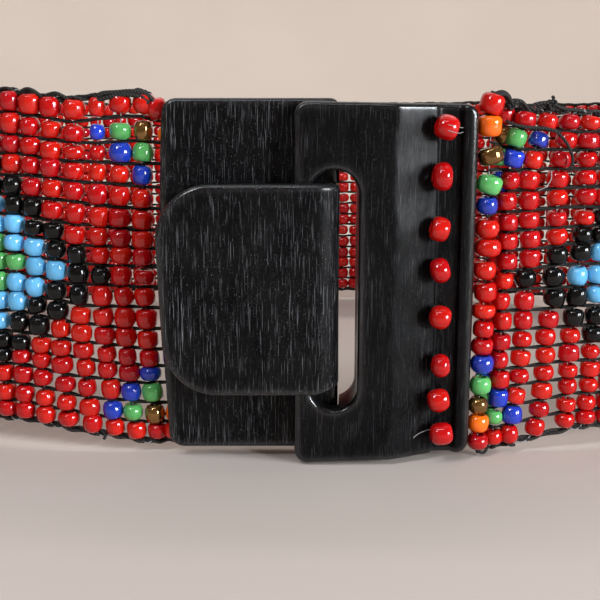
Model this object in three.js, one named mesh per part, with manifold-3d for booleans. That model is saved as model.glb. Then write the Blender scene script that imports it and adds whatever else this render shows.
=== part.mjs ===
// Beaded belt, closed round the waist as it is worn, with a two-part wooden hook buckle.
// Millimetres, +Z up, buckle at the front (-Y), origin at the middle of the waist opening.
import * as THREE from 'three';
import { mergeVertices } from 'three/addons/utils/BufferGeometryUtils.js';
import Module from 'manifold-3d';

// Waist loop, measured at the middle of the band's thickness
const waistHalfWidth = 123;
const waistHalfDepth = 80;
const frontRunHalf = 34;
const backRunHalf = 34;

// Bead band: rows of beads with cord between them, fanned out where it meets the buckle
const beadRows = 17;
const beadDiameter = 4.3;
const beadLength = 3.3;
const beadHole = 1.2;
const rowPitch = 3.85;
const rowPitchAtBuckle = 4.15;
const fanLength = 32;
const valleyThickness = 3.0;
const edgeCordWidth = 1.5;
const edgeCordThickness = 2.6;

// Clearance between neighbouring pieces
const clearance = 0.3;

// Hook plate: the piece behind, with the tongue that passes through the slot and turns back
const hookPlateWidth = 35.5;
const hookPlateHeight = 69;
const hookPlateThickness = 6.3;
const hookPlateCorner = 3;
const hookPlateBulge = 1.5;
const bandSeat = 3;
const tongueLength = 34.9;
const tongueHeight = 40.2;
const tongueThickness = 3.6;
const tongueCorner = 10.5;
const tongueRoll = 4.6;
const tongueTaper = 1.2;
const webThickness = 5.3;
const edgeRound = 0.9;

// Slot plate: the piece in front, with the slot on one side and the bead groove on the other
const slotPlateWidth = 34.8;
const slotPlateHeight = 70.4;
const slotPlateDrop = 1.2;
const slotPlateCorner = 2.6;
const slotPlateTaper = 1.2;
const barWidth = 3.05;
const barThickness = 4.5;
const slotWidth = 9.15;
const slotHeight = 47.2;
const slotBelowMiddle = 0.4;
const ridgeRound = 2;
const slopeWidth = 8.2;
const slopeDrop = 3.3;
const grooveDrop = 4.2;
const ribWidth = 3.4;
const ribDrop = 2.9;
const threadHole = 1.2;

// Beads that hold the threads in the groove, and the first column of the right band
const anchorBeadDiameter = 5;
const anchorBeadLength = 3.8;
const anchorBeadOverhang = 0.45;
const anchorBeadSink = 1;
const endBeadStandoff = 3.1;
const endBeadGap = 0.45;

// Where each anchor bead lies, as a share of the plate's height up from its middle, and its tilt
const anchorBeads = [
  { height: 0.431, tilt: 18 },
  { height: 0.302, tilt: 2 },
  { height: 0.161, tilt: 14 },
  { height: 0.049, tilt: -15 },
  { height: -0.081, tilt: 10 },
  { height: -0.217, tilt: -4 },
  { height: -0.317, tilt: -12 },
  { height: -0.414, tilt: -6 },
];

// One bead's outline: share of its half length along the hole, share of its radius
const beadOutline = [
  { along: -1, radius: 0.7 },
  { along: -0.42, radius: 1 },
  { along: 0.42, radius: 1 },
  { along: 1, radius: 0.7 },
];

// Colours of the first column, top to bottom, and heights as a share of the band's at the buckle
const endBeads = [
  { colour: 'red', height: 0.502 },
  { colour: 'orange', height: 0.440 },
  { colour: 'bronze', height: 0.355 },
  { colour: 'green', height: 0.274 },
  { colour: 'blue', height: 0.214 },
  { colour: 'red', height: 0.145 },
  { colour: 'red', height: 0.090 },
  { colour: 'red', height: 0.023 },
  { colour: 'red', height: -0.044 },
  { colour: 'red', height: -0.099 },
  { colour: 'red', height: -0.154 },
  { colour: 'red', height: -0.208 },
  { colour: 'blue', height: -0.262 },
  { colour: 'green', height: -0.328 },
  { colour: 'bronze', height: -0.388 },
  { colour: 'orange', height: -0.447 },
  { colour: 'red', height: -0.504 },
];

// Sampling of round stretches
const beadSides = 10;
const cornerSteps = 4;
const slotSteps = 10;
const fanSteps = 3;
const loopSteps = 12;

// Places that follow from the sizes above
const beadRadius = beadDiameter / 2;
const bandInnerFace = -waistHalfDepth + beadRadius;
const hookPlateBack = bandInnerFace;
const hookPlateFront = hookPlateBack - hookPlateThickness;
const barBack = hookPlateFront - clearance;
const slotPlateFront = barBack - barThickness;
const tongueBack = slotPlateFront - clearance;
const tongueFront = tongueBack - tongueThickness;
const buckleWidth = hookPlateWidth + slotPlateWidth - barWidth - clearance - webThickness;
const hookPlateLeft = -buckleWidth / 2;
const hookPlateRight = hookPlateLeft + hookPlateWidth;
const webRight = hookPlateRight;
const webLeft = webRight - webThickness;
const slotLeft = webLeft - clearance;
const slotRight = slotLeft + slotWidth;
const slotPlateLeft = slotLeft - barWidth;
const slotPlateRight = slotPlateLeft + slotPlateWidth;
const grooveRight = slotPlateRight - ribWidth;
const grooveLeft = grooveRight - anchorBeadLength - clearance;
const ridge = grooveLeft - slopeWidth;
const anchorBeadX = grooveLeft - anchorBeadOverhang + anchorBeadLength / 2;
const anchorBeadY = slotPlateFront + anchorBeadSink;
const tongueLeft = webRight - tongueLength;
const bandLeftStart = -(hookPlateLeft + bandSeat);
const bandRightStart = slotPlateRight + clearance;
const endBeadX = slotPlateRight + endBeadGap + beadRadius;
const endBeadY = -waistHalfDepth - endBeadStandoff;
const thinEndThickness = endBeadStandoff - beadRadius - clearance;

const wasm = await Module();
wasm.setup();

// Materials
function finish(colour, roughness, metalness = 0) {
  return new THREE.MeshStandardMaterial({ color: colour, roughness, metalness });
}

const glassColours = { red: 0xc8140f, orange: 0xff6e00, bronze: 0x78551e, green: 0x50a555, blue: 0x192db4 };

function glass(name) {
  return finish(glassColours[name], 0.15, name === 'bronze' ? 0.8 : 0);
}

// Solids from three.js geometry and back
function toSolid(geometry) {
  const bare = geometry.clone();
  bare.deleteAttribute('normal');
  bare.deleteAttribute('uv');
  const merged = mergeVertices(bare);
  return new wasm.Manifold(new wasm.Mesh({
    numProp: 3,
    vertProperties: new Float32Array(merged.attributes.position.array),
    triVerts: new Uint32Array(merged.index.array),
  }));
}

function toGeometry(solid) {
  const mesh = solid.getMesh();
  const geometry = new THREE.BufferGeometry();
  geometry.setAttribute('position', new THREE.BufferAttribute(mesh.vertProperties, 3));
  geometry.setIndex(new THREE.BufferAttribute(mesh.triVerts, 1));
  return geometry;
}

// A closed outline through corners, each rounded off by its own radius
function roundedShape(corners) {
  const shape = new THREE.Shape();
  corners.forEach((corner, i) => {
    const here = new THREE.Vector2(corner.x, corner.y);
    const before = corners[(i + corners.length - 1) % corners.length];
    const after = corners[(i + 1) % corners.length];
    const toBefore = new THREE.Vector2(before.x, before.y).sub(here);
    const toAfter = new THREE.Vector2(after.x, after.y).sub(here);
    const turn = Math.PI - toBefore.angleTo(toAfter);
    const wanted = (corner.radius ?? 0) * Math.tan(turn / 2);
    const reach = Math.min(wanted, 0.49 * toBefore.length(), 0.49 * toAfter.length());
    const start = here.clone().addScaledVector(toBefore.normalize(), reach);
    const end = here.clone().addScaledVector(toAfter.normalize(), reach);
    if (i === 0) {
      shape.moveTo(start.x, start.y);
    } else {
      shape.lineTo(start.x, start.y);
    }
    if (reach > 0) {
      shape.quadraticCurveTo(here.x, here.y, end.x, end.y);
    }
  });
  shape.closePath();
  return shape;
}

// An outline in X and Y carried up, standing on the given height
function risenSolid(shape, bottom, height) {
  const geometry = new THREE.ExtrudeGeometry(shape, {
    depth: height,
    bevelEnabled: false,
    curveSegments: cornerSteps,
  });
  return toSolid(geometry.translate(0, 0, bottom));
}

// An outline in X and Z carried from front to back, with its end edges rounded by the given size
function deepSolid(shape, front, back, rounding = 0, steps = cornerSteps) {
  const geometry = new THREE.ExtrudeGeometry(shape, {
    depth: back - front - 2 * rounding,
    bevelEnabled: rounding > 0,
    bevelThickness: rounding,
    bevelSize: rounding,
    bevelOffset: -rounding,
    bevelSegments: 2,
    curveSegments: steps,
  });
  return toSolid(geometry.rotateX(Math.PI / 2).translate(0, back - rounding, 0));
}

// The hook plate, one carved piece: plate, web through the slot, and tongue
function hookPlateSolid() {
  const half = hookPlateHeight / 2;
  const plate = deepSolid(roundedShape([
    { x: hookPlateLeft + hookPlateBulge, y: -half, radius: hookPlateCorner },
    { x: hookPlateRight, y: -half, radius: 2 * edgeRound },
    { x: hookPlateRight, y: half, radius: 2 * edgeRound },
    { x: hookPlateLeft + hookPlateBulge, y: half, radius: hookPlateCorner },
    { x: hookPlateLeft, y: 0, radius: 4 * hookPlateHeight },
  ]), hookPlateFront, hookPlateBack, edgeRound);
  const seatFront = -waistHalfDepth - beadRadius - clearance;
  const seatRight = hookPlateLeft + bandSeat + clearance;
  const seatLeft = hookPlateLeft - hookPlateThickness;
  const seat = risenSolid(roundedShape([
    { x: seatLeft, y: seatFront },
    { x: seatRight, y: seatFront },
    { x: seatRight, y: hookPlateBack + hookPlateThickness },
    { x: seatLeft, y: hookPlateBack + hookPlateThickness },
  ]), -hookPlateHeight, 2 * hookPlateHeight);
  const rooted = hookPlateFront + hookPlateThickness / 4;
  const bend = risenSolid(roundedShape([
    { x: tongueLeft, y: tongueFront, radius: edgeRound },
    { x: webRight, y: tongueFront, radius: tongueRoll },
    { x: webRight, y: rooted },
    { x: webLeft, y: rooted },
    { x: webLeft, y: tongueBack, radius: clearance },
    { x: tongueLeft, y: tongueBack, radius: edgeRound },
  ]), -tongueHeight, 2 * tongueHeight);
  const low = -slotPlateDrop - tongueHeight / 2;
  const high = -slotPlateDrop + tongueHeight / 2;
  const outline = deepSolid(roundedShape([
    { x: tongueLeft, y: low, radius: tongueCorner },
    { x: webRight - tongueRoll, y: low, radius: tongueRoll },
    { x: webRight, y: low + tongueTaper, radius: 2 * edgeRound },
    { x: webRight, y: high, radius: 2 * edgeRound },
    { x: tongueLeft, y: high, radius: tongueCorner },
  ]), tongueFront, hookPlateBack, edgeRound);
  return plate.subtract(seat).add(bend.intersect(outline));
}

// The slot plate: its cross-section carried up its height, cut to its outline, slotted and drilled
function slotPlateSolid() {
  const back = hookPlateBack;
  const section = risenSolid(roundedShape([
    { x: slotPlateLeft, y: slotPlateFront, radius: edgeRound },
    { x: ridge, y: slotPlateFront, radius: ridgeRound },
    { x: grooveLeft, y: slotPlateFront + slopeDrop },
    { x: grooveLeft, y: slotPlateFront + grooveDrop },
    { x: grooveRight, y: slotPlateFront + grooveDrop },
    { x: grooveRight, y: slotPlateFront + ribDrop, radius: edgeRound },
    { x: slotPlateRight, y: slotPlateFront + ribDrop, radius: edgeRound },
    { x: slotPlateRight, y: back, radius: edgeRound },
    { x: hookPlateRight + clearance, y: back, radius: clearance },
    { x: hookPlateRight + clearance, y: barBack },
    { x: slotPlateLeft, y: barBack, radius: clearance },
  ]), -slotPlateHeight, 2 * slotPlateHeight);
  const low = -slotPlateDrop - slotPlateHeight / 2;
  const high = -slotPlateDrop + slotPlateHeight / 2;
  const outline = deepSolid(roundedShape([
    { x: slotPlateLeft, y: low, radius: slotPlateCorner },
    { x: slotPlateRight, y: low + slotPlateTaper, radius: slotPlateCorner },
    { x: slotPlateRight, y: high - slotPlateTaper / 2, radius: slotPlateCorner },
    { x: slotPlateLeft, y: high, radius: slotPlateCorner },
  ]), slotPlateFront, back, edgeRound);
  const slotRadius = slotWidth / 2;
  const slotMiddle = (slotLeft + slotRight) / 2;
  const slotRun = slotHeight / 2 - slotRadius;
  const slotShape = new THREE.Shape();
  const slotLevel = -slotPlateDrop - slotBelowMiddle;
  slotShape.absarc(slotMiddle, slotLevel + slotRun, slotRadius, 0, Math.PI);
  slotShape.absarc(slotMiddle, slotLevel - slotRun, slotRadius, Math.PI, 2 * Math.PI);
  const slot = deepSolid(slotShape, slotPlateFront - clearance, back + clearance, 0, slotSteps);
  let plate = section.intersect(outline).subtract(slot);
  for (const bead of anchorBeads) {
    const depth = back - slotPlateFront;
    const drill = new THREE.CylinderGeometry(threadHole / 2, threadHole / 2, 2 * depth, 8);
    drill.translate(anchorBeadX, back, anchorBeadHeight(bead));
    plate = plate.subtract(toSolid(drill));
  }
  return plate;
}

function anchorBeadHeight(bead) {
  return bead.height * slotPlateHeight - slotPlateDrop;
}

function endBeadHeight(bead) {
  return bead.height * (beadRows - 1) * rowPitchAtBuckle;
}

// A bead of the first column is as long as its neighbours leave room for
function endBeadLength(i) {
  const neighbours = [endBeads[i - 1], endBeads[i + 1]].filter(Boolean);
  const room = neighbours.map((other) => Math.abs(endBeadHeight(other) - endBeadHeight(endBeads[i])));
  return Math.min(beadLength, Math.min(...room) - clearance);
}

// A drilled bead, its hole along Y before it is turned
function beadGeometry(diameter, length) {
  const bore = beadOutline.map((point) => new THREE.Vector2(
    point.radius * diameter / 2,
    point.along * length / 2,
  ));
  bore.push(new THREE.Vector2(beadHole / 2, length / 2));
  bore.push(new THREE.Vector2(beadHole / 2, -length / 2));
  bore.push(bore[0].clone());
  return new THREE.LatheGeometry(bore, beadSides);
}

// Plan view of half the band, from its end at the buckle round the side to the middle of the back
function halfLoop(start) {
  const path = new THREE.Path();
  path.moveTo(start, -waistHalfDepth);
  path.lineTo(frontRunHalf, -waistHalfDepth);
  const frontSide = waistHalfWidth - frontRunHalf;
  const backSide = waistHalfWidth - backRunHalf;
  path.absellipse(frontRunHalf, 0, frontSide, waistHalfDepth, -Math.PI / 2, 0, false);
  path.absellipse(backRunHalf, 0, backSide, waistHalfDepth, 0, Math.PI / 2, false);
  path.lineTo(clearance / 2, waistHalfDepth);
  return path;
}

// The bead rows' pitch at a distance from the buckle, eased from the fan to the plain band
function pitchAt(distance) {
  const share = THREE.MathUtils.smoothstep(distance, 0, fanLength);
  return THREE.MathUtils.lerp(rowPitchAtBuckle, rowPitch, share);
}

// One section of the band: height and outward offset, up the ridged outside and down the plain inside
function bandSection(distance, outerLimit) {
  const pitch = pitchAt(distance);
  const crown = Math.min(beadRadius, outerLimit);
  const valley = Math.min(valleyThickness / 2, outerLimit);
  const cord = Math.min(edgeCordThickness / 2, outerLimit);
  const lastRow = (beadRows - 1) / 2;
  const edge = lastRow * pitch + beadLength / 2;
  const points = [
    { height: -edge - edgeCordWidth, offset: -edgeCordThickness / 4 },
    { height: -edge - edgeCordWidth, offset: cord / 2 },
    { height: -edge - edgeCordWidth / 2, offset: cord },
    { height: -edge, offset: valley },
  ];
  for (let row = -lastRow; row <= lastRow; row += 1) {
    points.push({ height: row * pitch, offset: crown });
    points.push({ height: row < lastRow ? (row + 0.5) * pitch : edge, offset: valley });
  }
  points.push({ height: edge + edgeCordWidth / 2, offset: cord });
  points.push({ height: edge + edgeCordWidth, offset: cord / 2 });
  points.push({ height: edge + edgeCordWidth, offset: -edgeCordThickness / 4 });
  points.push({ height: edge, offset: -beadRadius });
  points.push({ height: -edge, offset: -beadRadius });
  return points;
}

// A closed skin over rings of equally many points, with flat ends
function loft(rings) {
  const count = rings[0].length;
  const positions = rings.flat().flatMap((point) => [point.x, point.y, point.z]);
  const faces = [];
  for (let ring = 0; ring + 1 < rings.length; ring += 1) {
    for (let i = 0; i < count; i += 1) {
      const a = ring * count + i;
      const b = ring * count + (i + 1) % count;
      faces.push(a, b + count, b);
      faces.push(a, a + count, b + count);
    }
  }
  const last = (rings.length - 1) * count;
  const flat = rings[0].map((point) => point.flat);
  for (const [a, b, c] of THREE.ShapeUtils.triangulateShape(flat, [])) {
    faces.push(a, b, c);
    faces.push(last + c, last + b, last + a);
  }
  const geometry = new THREE.BufferGeometry();
  geometry.setAttribute('position', new THREE.Float32BufferAttribute(positions, 3));
  geometry.setIndex(faces);
  return geometry;
}

// Half the band on one side: side is 1 to the right and -1 to the left
function bandGeometry(side, start, thinEnd) {
  const path = halfLoop(start);
  const length = path.getLength();
  const stations = [{ distance: 0, limit: thinEnd > 0 ? thinEndThickness : beadRadius }];
  if (thinEnd > 0) {
    stations.push({ distance: thinEnd, limit: thinEndThickness });
    stations.push({ distance: thinEnd + beadRadius / 2, limit: beadRadius });
  }
  for (let i = 1; i <= fanSteps; i += 1) {
    stations.push({ distance: Math.max(fanLength * i / fanSteps, thinEnd + beadRadius), limit: beadRadius });
  }
  const curved = length - backRunHalf;
  for (let i = 1; i <= loopSteps; i += 1) {
    stations.push({ distance: THREE.MathUtils.lerp(fanLength, curved, i / loopSteps), limit: beadRadius });
  }
  stations.push({ distance: length, limit: beadRadius });
  const rings = stations.map((station) => {
    const share = station.distance / length;
    const point = path.getPointAt(share);
    const along = path.getTangentAt(share);
    return bandSection(station.distance, station.limit).map(({ height, offset }) => {
      const place = new THREE.Vector3(
        side * (point.x + along.y * offset),
        point.y - along.x * offset,
        height,
      );
      place.flat = new THREE.Vector2(offset, height);
      return place;
    });
  });
  return loft(side > 0 ? rings : rings.reverse());
}

// Assembly
const belt = new THREE.Group();

function addPiece(name, geometry, material) {
  const mesh = new THREE.Mesh(geometry, material);
  mesh.name = name;
  belt.add(mesh);
  return mesh;
}

addPiece('hook_plate', toGeometry(hookPlateSolid()), finish(0x141313, 0.4));
addPiece('slot_plate', toGeometry(slotPlateSolid()), finish(0x17181a, 0.35));

anchorBeads.forEach((bead, i) => {
  const geometry = beadGeometry(anchorBeadDiameter, anchorBeadLength).rotateZ(Math.PI / 2);
  const mesh = addPiece(`anchor_bead_${i + 1}`, geometry, glass('red'));
  mesh.position.set(anchorBeadX, anchorBeadY, anchorBeadHeight(bead));
  mesh.rotation.y = THREE.MathUtils.degToRad(bead.tilt);
});

endBeads.forEach((bead, i) => {
  const geometry = beadGeometry(beadDiameter, endBeadLength(i)).rotateX(Math.PI / 2);
  const mesh = addPiece(`end_bead_${i + 1}`, geometry, glass(bead.colour));
  mesh.position.set(endBeadX, endBeadY, endBeadHeight(bead));
});

const thinEndLength = endBeadX + beadRadius + clearance - bandRightStart;
addPiece('band_left', bandGeometry(-1, bandLeftStart, 0), finish(0xb51410, 0.25));
addPiece('band_right', bandGeometry(1, bandRightStart, thinEndLength), finish(0xb51410, 0.25));

export default belt;
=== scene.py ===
"""Beaded belt with a carved wooden hook buckle: finish, beads, cords, threads, floor, lights, camera."""
import math

import bpy
import numpy as np
from bpy.props import FloatProperty, FloatVectorProperty, IntProperty, PointerProperty
from mathutils import Matrix, Vector


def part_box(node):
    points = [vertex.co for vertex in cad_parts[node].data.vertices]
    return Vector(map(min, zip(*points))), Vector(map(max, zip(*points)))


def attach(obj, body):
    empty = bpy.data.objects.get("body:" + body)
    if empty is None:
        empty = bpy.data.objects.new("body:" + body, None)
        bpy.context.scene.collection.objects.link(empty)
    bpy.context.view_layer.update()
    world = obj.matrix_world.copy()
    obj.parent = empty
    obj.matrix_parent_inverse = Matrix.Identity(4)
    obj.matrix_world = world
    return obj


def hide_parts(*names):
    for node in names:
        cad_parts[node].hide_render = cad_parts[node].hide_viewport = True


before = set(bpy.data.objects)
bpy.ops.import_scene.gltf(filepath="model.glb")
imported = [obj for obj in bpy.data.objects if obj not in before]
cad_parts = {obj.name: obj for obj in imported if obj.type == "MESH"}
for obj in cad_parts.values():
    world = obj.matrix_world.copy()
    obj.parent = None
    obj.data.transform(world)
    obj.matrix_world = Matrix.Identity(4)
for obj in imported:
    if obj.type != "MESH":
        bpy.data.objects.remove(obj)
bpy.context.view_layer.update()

bl_info = {
    "name": "Beaded belt",
    "version": (1, 0, 0),
    "blender": (4, 5, 0),
    "location": "3D View > Sidebar > Belt",
    "description": "Dresses a woven bead belt and its hook buckle",
    "category": "Object",
}

MM = 0.001


def table(columns, *rows):
    """The rows of a table, each under the names of its columns."""
    return [dict(zip(columns.split(), row)) for row in rows]


SIDES = ((-1, "left"), (1, "right"))

# Places read from the frame
HOOK_LOW, HOOK_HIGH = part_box("hook_plate")
SLOT_LOW, SLOT_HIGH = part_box("slot_plate")
LEFT_LOW, LEFT_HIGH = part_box("band_left")
RIGHT_LOW, RIGHT_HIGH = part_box("band_right")
ANCHOR_BEADS = [f"anchor_bead_{i}" for i in range(1, 9)]
ANCHOR_BOXES = [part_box(name) for name in ANCHOR_BEADS]
END_BEADS = [f"end_bead_{i}" for i in range(1, 18)]
BACK_PLANE = HOOK_HIGH.y
SLOT_FRONT = SLOT_LOW.y

# Colour chart of the band
ROWS = 17
MIDDLE_ROW = 8
CHART_SPAN = 20
COLUMNS = 141
GLASS = ("red", "orange", "bronze", "green", "blue", "light_blue", "black")
RED, ORANGE, BRONZE, GREEN, BLUE, LIGHT_BLUE, BLACK = range(7)
END_CHART = {7: ORANGE, 6: BRONZE, 5: GREEN, 4: BLUE}
SECOND_CHART = {7: BRONZE, 6: GREEN, 5: BLUE}
THIRD_CHART = {7: GREEN, 6: BLUE}
FOURTH_CHART = {7: BLUE, 0: BLACK}
STEPS_TO_DIAMOND = 3


def chart_colour(column, row):
    """The colour of a bead, from its column counted from the buckle and its row counted from the top.

    One chart of twenty-one columns lies on each side of the buckle and mirrors about its middle
    column. Its diamond has a black outline two beads wide, then two of light blue, then green, with
    orange in its heart. The rest of the band is plain red.
    """
    step = column - 1
    if step > CHART_SPAN:
        return RED
    step = min(step, CHART_SPAN - step)
    away = abs(row - MIDDLE_ROW)
    if step <= STEPS_TO_DIAMOND:
        chart = (END_CHART, SECOND_CHART, THIRD_CHART, FOURTH_CHART)[step]
        return chart.get(away, RED)
    ring = step - STEPS_TO_DIAMOND - away
    if ring < 0 or away == MIDDLE_ROW:
        return RED
    if ring <= 1:
        return BLACK
    if ring <= 3:
        return LIGHT_BLUE
    return GREEN if ring <= 5 else ORANGE


def length_property(name, millimetres, description):
    return FloatProperty(name=name, description=description, default=millimetres * MM, unit="LENGTH")


class BeltBandSettings(bpy.types.PropertyGroup):
    bead_diameter: length_property("Bead diameter", 4.3, "Mean width of a bead across its hole")
    left_fullness: FloatProperty(
        name="Left fullness", description="Bead length as a share of the row pitch, left of the buckle",
        default=0.91)
    right_fullness: FloatProperty(
        name="Right fullness", description="Bead length as a share of the row pitch, right of the buckle",
        default=0.86)
    bead_hole: length_property("Bead hole", 1.2, "Width of the hole")
    row_pitch: length_property("Row pitch", 3.85, "Distance between bead rows away from the buckle")
    front_run: length_property("Front run", 34, "Half length of the straight run behind the buckle")
    cord_diameter: length_property("Cord diameter", 0.44, "Thickness of one cord between the rows")
    edge_cord_diameter: length_property("Edge cord diameter", 0.72, "Thickness of one cord along the edges")
    thread_diameter: length_property(
        "Thread diameter", 0.25, "Thickness of the clear thread through the beads")
    seed: IntProperty(
        name="Seed", description="Start of the random draws for hand-made unevenness", default=17)


class BeltBuckleSettings(bpy.types.PropertyGroup):
    hook_thickness: length_property("Hook plate thickness", 6.3, "Depth of the plate behind")
    hook_bulge: length_property("Hook plate bulge", 1.5, "How far its outer edge stands out at mid height")
    hook_corner: length_property("Hook plate corner", 3.0, "Corner radius")
    band_seat: length_property("Band seat", 3.0, "How far the band goes in behind the plate")
    seat_room: length_property("Seat room", 1.5, "Room left past the band's end in its seat")
    clearance: length_property("Clearance", 0.3, "Gap between neighbouring pieces")
    tongue_length: length_property("Tongue length", 34.9, "From its free end to the outside of its roll")
    tongue_height: length_property("Tongue height", 40.2, "Size up the buckle")
    tongue_thickness: length_property("Tongue thickness", 3.6, "Depth of the tongue")
    tongue_corner: length_property("Tongue corner", 10.5, "Radius of its free corners")
    tongue_roll: length_property("Tongue roll", 4.6, "Radius where it turns into the slot")
    tongue_slant: length_property("Tongue slant", 1.6, "How much its free edge recedes towards the bottom")
    tongue_taper: length_property("Tongue taper", 1.2, "How much its lower edge rises over the roll")
    web_thickness: length_property("Web thickness", 5.3, "Thickness of the part in the slot")
    edge_round: length_property("Edge rounding", 0.9, "Radius of the polished edges")
    bar_width: length_property("Bar width", 3.05, "Wood left of the slot")
    bar_thickness: length_property("Bar thickness", 4.5, "Depth of the raised part over the plate behind")
    slot_width: length_property("Slot width", 9.15, "Size across the slot")
    slot_height: length_property("Slot height", 46.7, "Size up the slot")
    slot_below_middle: length_property(
        "Slot below middle", 0.85, "How far the slot lies below the plate's middle")
    slot_rim: length_property("Slot rim", 0.75, "Radius of the slot's front edge")
    plate_corner: length_property("Slot plate corner", 2.6, "Corner radius")
    plate_taper: length_property("Slot plate taper", 1.2, "How much its lower edge rises to the far side")
    ridge_round: length_property("Ridge rounding", 1.0, "Radius where the slope begins")
    slope_width: length_property("Slope width", 8.2, "From the ridge to the groove")
    slope_drop: length_property("Slope drop", 3.3, "Fall of the slope")
    groove_width: length_property("Groove width", 4.1, "Size across the groove")
    groove_drop: length_property("Groove drop", 4.2, "Depth of the groove's floor")
    rib_width: length_property("Rib width", 3.4, "Width of the rib past the groove")
    rib_drop: length_property("Rib drop", 2.9, "How far the rib lies below the ridge")


def colour_property(name, value):
    return FloatVectorProperty(
        name=name, description=f"Base colour of the {name.lower()}",
        default=value, size=3, min=0, max=1, subtype="COLOR")


class BeltColourSettings(bpy.types.PropertyGroup):
    red: colour_property("Red glass", (0.44, 0.004, 0.003))
    orange: colour_property("Orange glass", (0.86, 0.13, 0.003))
    bronze: colour_property("Bronze glaze", (0.23, 0.112, 0.026))
    green: colour_property("Green glass", (0.088, 0.37, 0.098))
    blue: colour_property("Blue glass", (0.010, 0.034, 0.37))
    light_blue: colour_property("Light blue glass", (0.125, 0.43, 0.74))
    black: colour_property("Black glass", (0.003, 0.003, 0.003))
    wood: colour_property("Dark wood", (0.0016, 0.0016, 0.0019))
    wood_fleck: colour_property("Pale flecks", (0.13, 0.13, 0.14))
    cord: colour_property("Black cord", (0.009, 0.008, 0.007))
    thread: colour_property("Clear thread", (0.36, 0.36, 0.37))
    floor: colour_property("Floor", (0.54, 0.475, 0.43))


# Mesh building
def grid_quads(rows, columns, wrap_rows=False, wrap_columns=False):
    """Quads of a rows by columns grid of points, numbered row by row, wrapped round where asked."""
    row = np.arange(rows if wrap_rows else rows - 1)[:, None]
    column = np.arange(columns if wrap_columns else columns - 1)[None, :]
    next_row = (row + 1) % rows
    next_column = (column + 1) % columns
    quads = np.stack([
        row * columns + column,
        row * columns + next_column,
        next_row * columns + next_column,
        next_row * columns + column,
    ], axis=-1)
    return quads.reshape(-1, 4)


def many_grids(count, quads, points_each):
    """The same quads for many copies of a shape whose points follow each other."""
    shift = np.arange(count)[:, None, None] * points_each
    return (quads[None] + shift).reshape(-1, 4)


def outward_faces(points, blocks):
    """Turns every face round if the closed surface's signed volume comes out negative."""
    volume = 0.0
    for block in blocks:
        corners = points[block]
        for i in range(1, block.shape[1] - 1):
            cross = np.cross(corners[:, i], corners[:, i + 1])
            volume += np.einsum("ij,ij->", corners[:, 0], cross)
    return blocks if volume > 0 else [block[:, ::-1] for block in blocks]


def new_piece(name, points, faces, material, replaced=(), attributes=None, uv=None):
    """Puts points and faces (an array of quads or of triangles, or a list of both) into a smooth mesh."""
    blocks = faces if isinstance(faces, list) else [faces]
    corners = np.concatenate([block.ravel() for block in blocks]).astype(np.int32)
    sizes = np.concatenate([np.full(len(block), block.shape[1]) for block in blocks])
    starts = np.concatenate([[0], np.cumsum(sizes)[:-1]])
    mesh = bpy.data.meshes.new(name)
    mesh.vertices.add(len(points))
    mesh.vertices.foreach_set("co", np.asarray(points, np.float32).ravel())
    mesh.loops.add(len(corners))
    mesh.loops.foreach_set("vertex_index", corners)
    mesh.polygons.add(len(sizes))
    mesh.polygons.foreach_set("loop_start", starts.astype(np.int32))
    mesh.polygons.foreach_set("use_smooth", np.ones(len(sizes), bool))
    mesh.update(calc_edges=True)
    for key, values in (attributes or {}).items():
        layer = mesh.attributes.new(key, "FLOAT", "POINT")
        layer.data.foreach_set("value", np.asarray(values, np.float32).ravel())
    if uv is not None:
        layer = mesh.uv_layers.new(name="along")
        layer.data.foreach_set("uv", np.asarray(uv, np.float32).ravel())
    mesh.materials.append(material)
    piece = bpy.data.objects.new(name, mesh)
    bpy.context.scene.collection.objects.link(piece)
    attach(piece, "root")
    if replaced:
        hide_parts(*replaced)
    return piece


def unit(vectors):
    """Vectors divided by their own lengths."""
    return vectors / np.linalg.norm(vectors, axis=-1, keepdims=True)


def soft_step(value):
    """Three times its square less twice its cube, from zero to one."""
    value = np.clip(value, 0, 1)
    return value * value * (3 - 2 * value)


# Plan of the band round the waist
PAST_MIDDLE = 20 * MM


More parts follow.
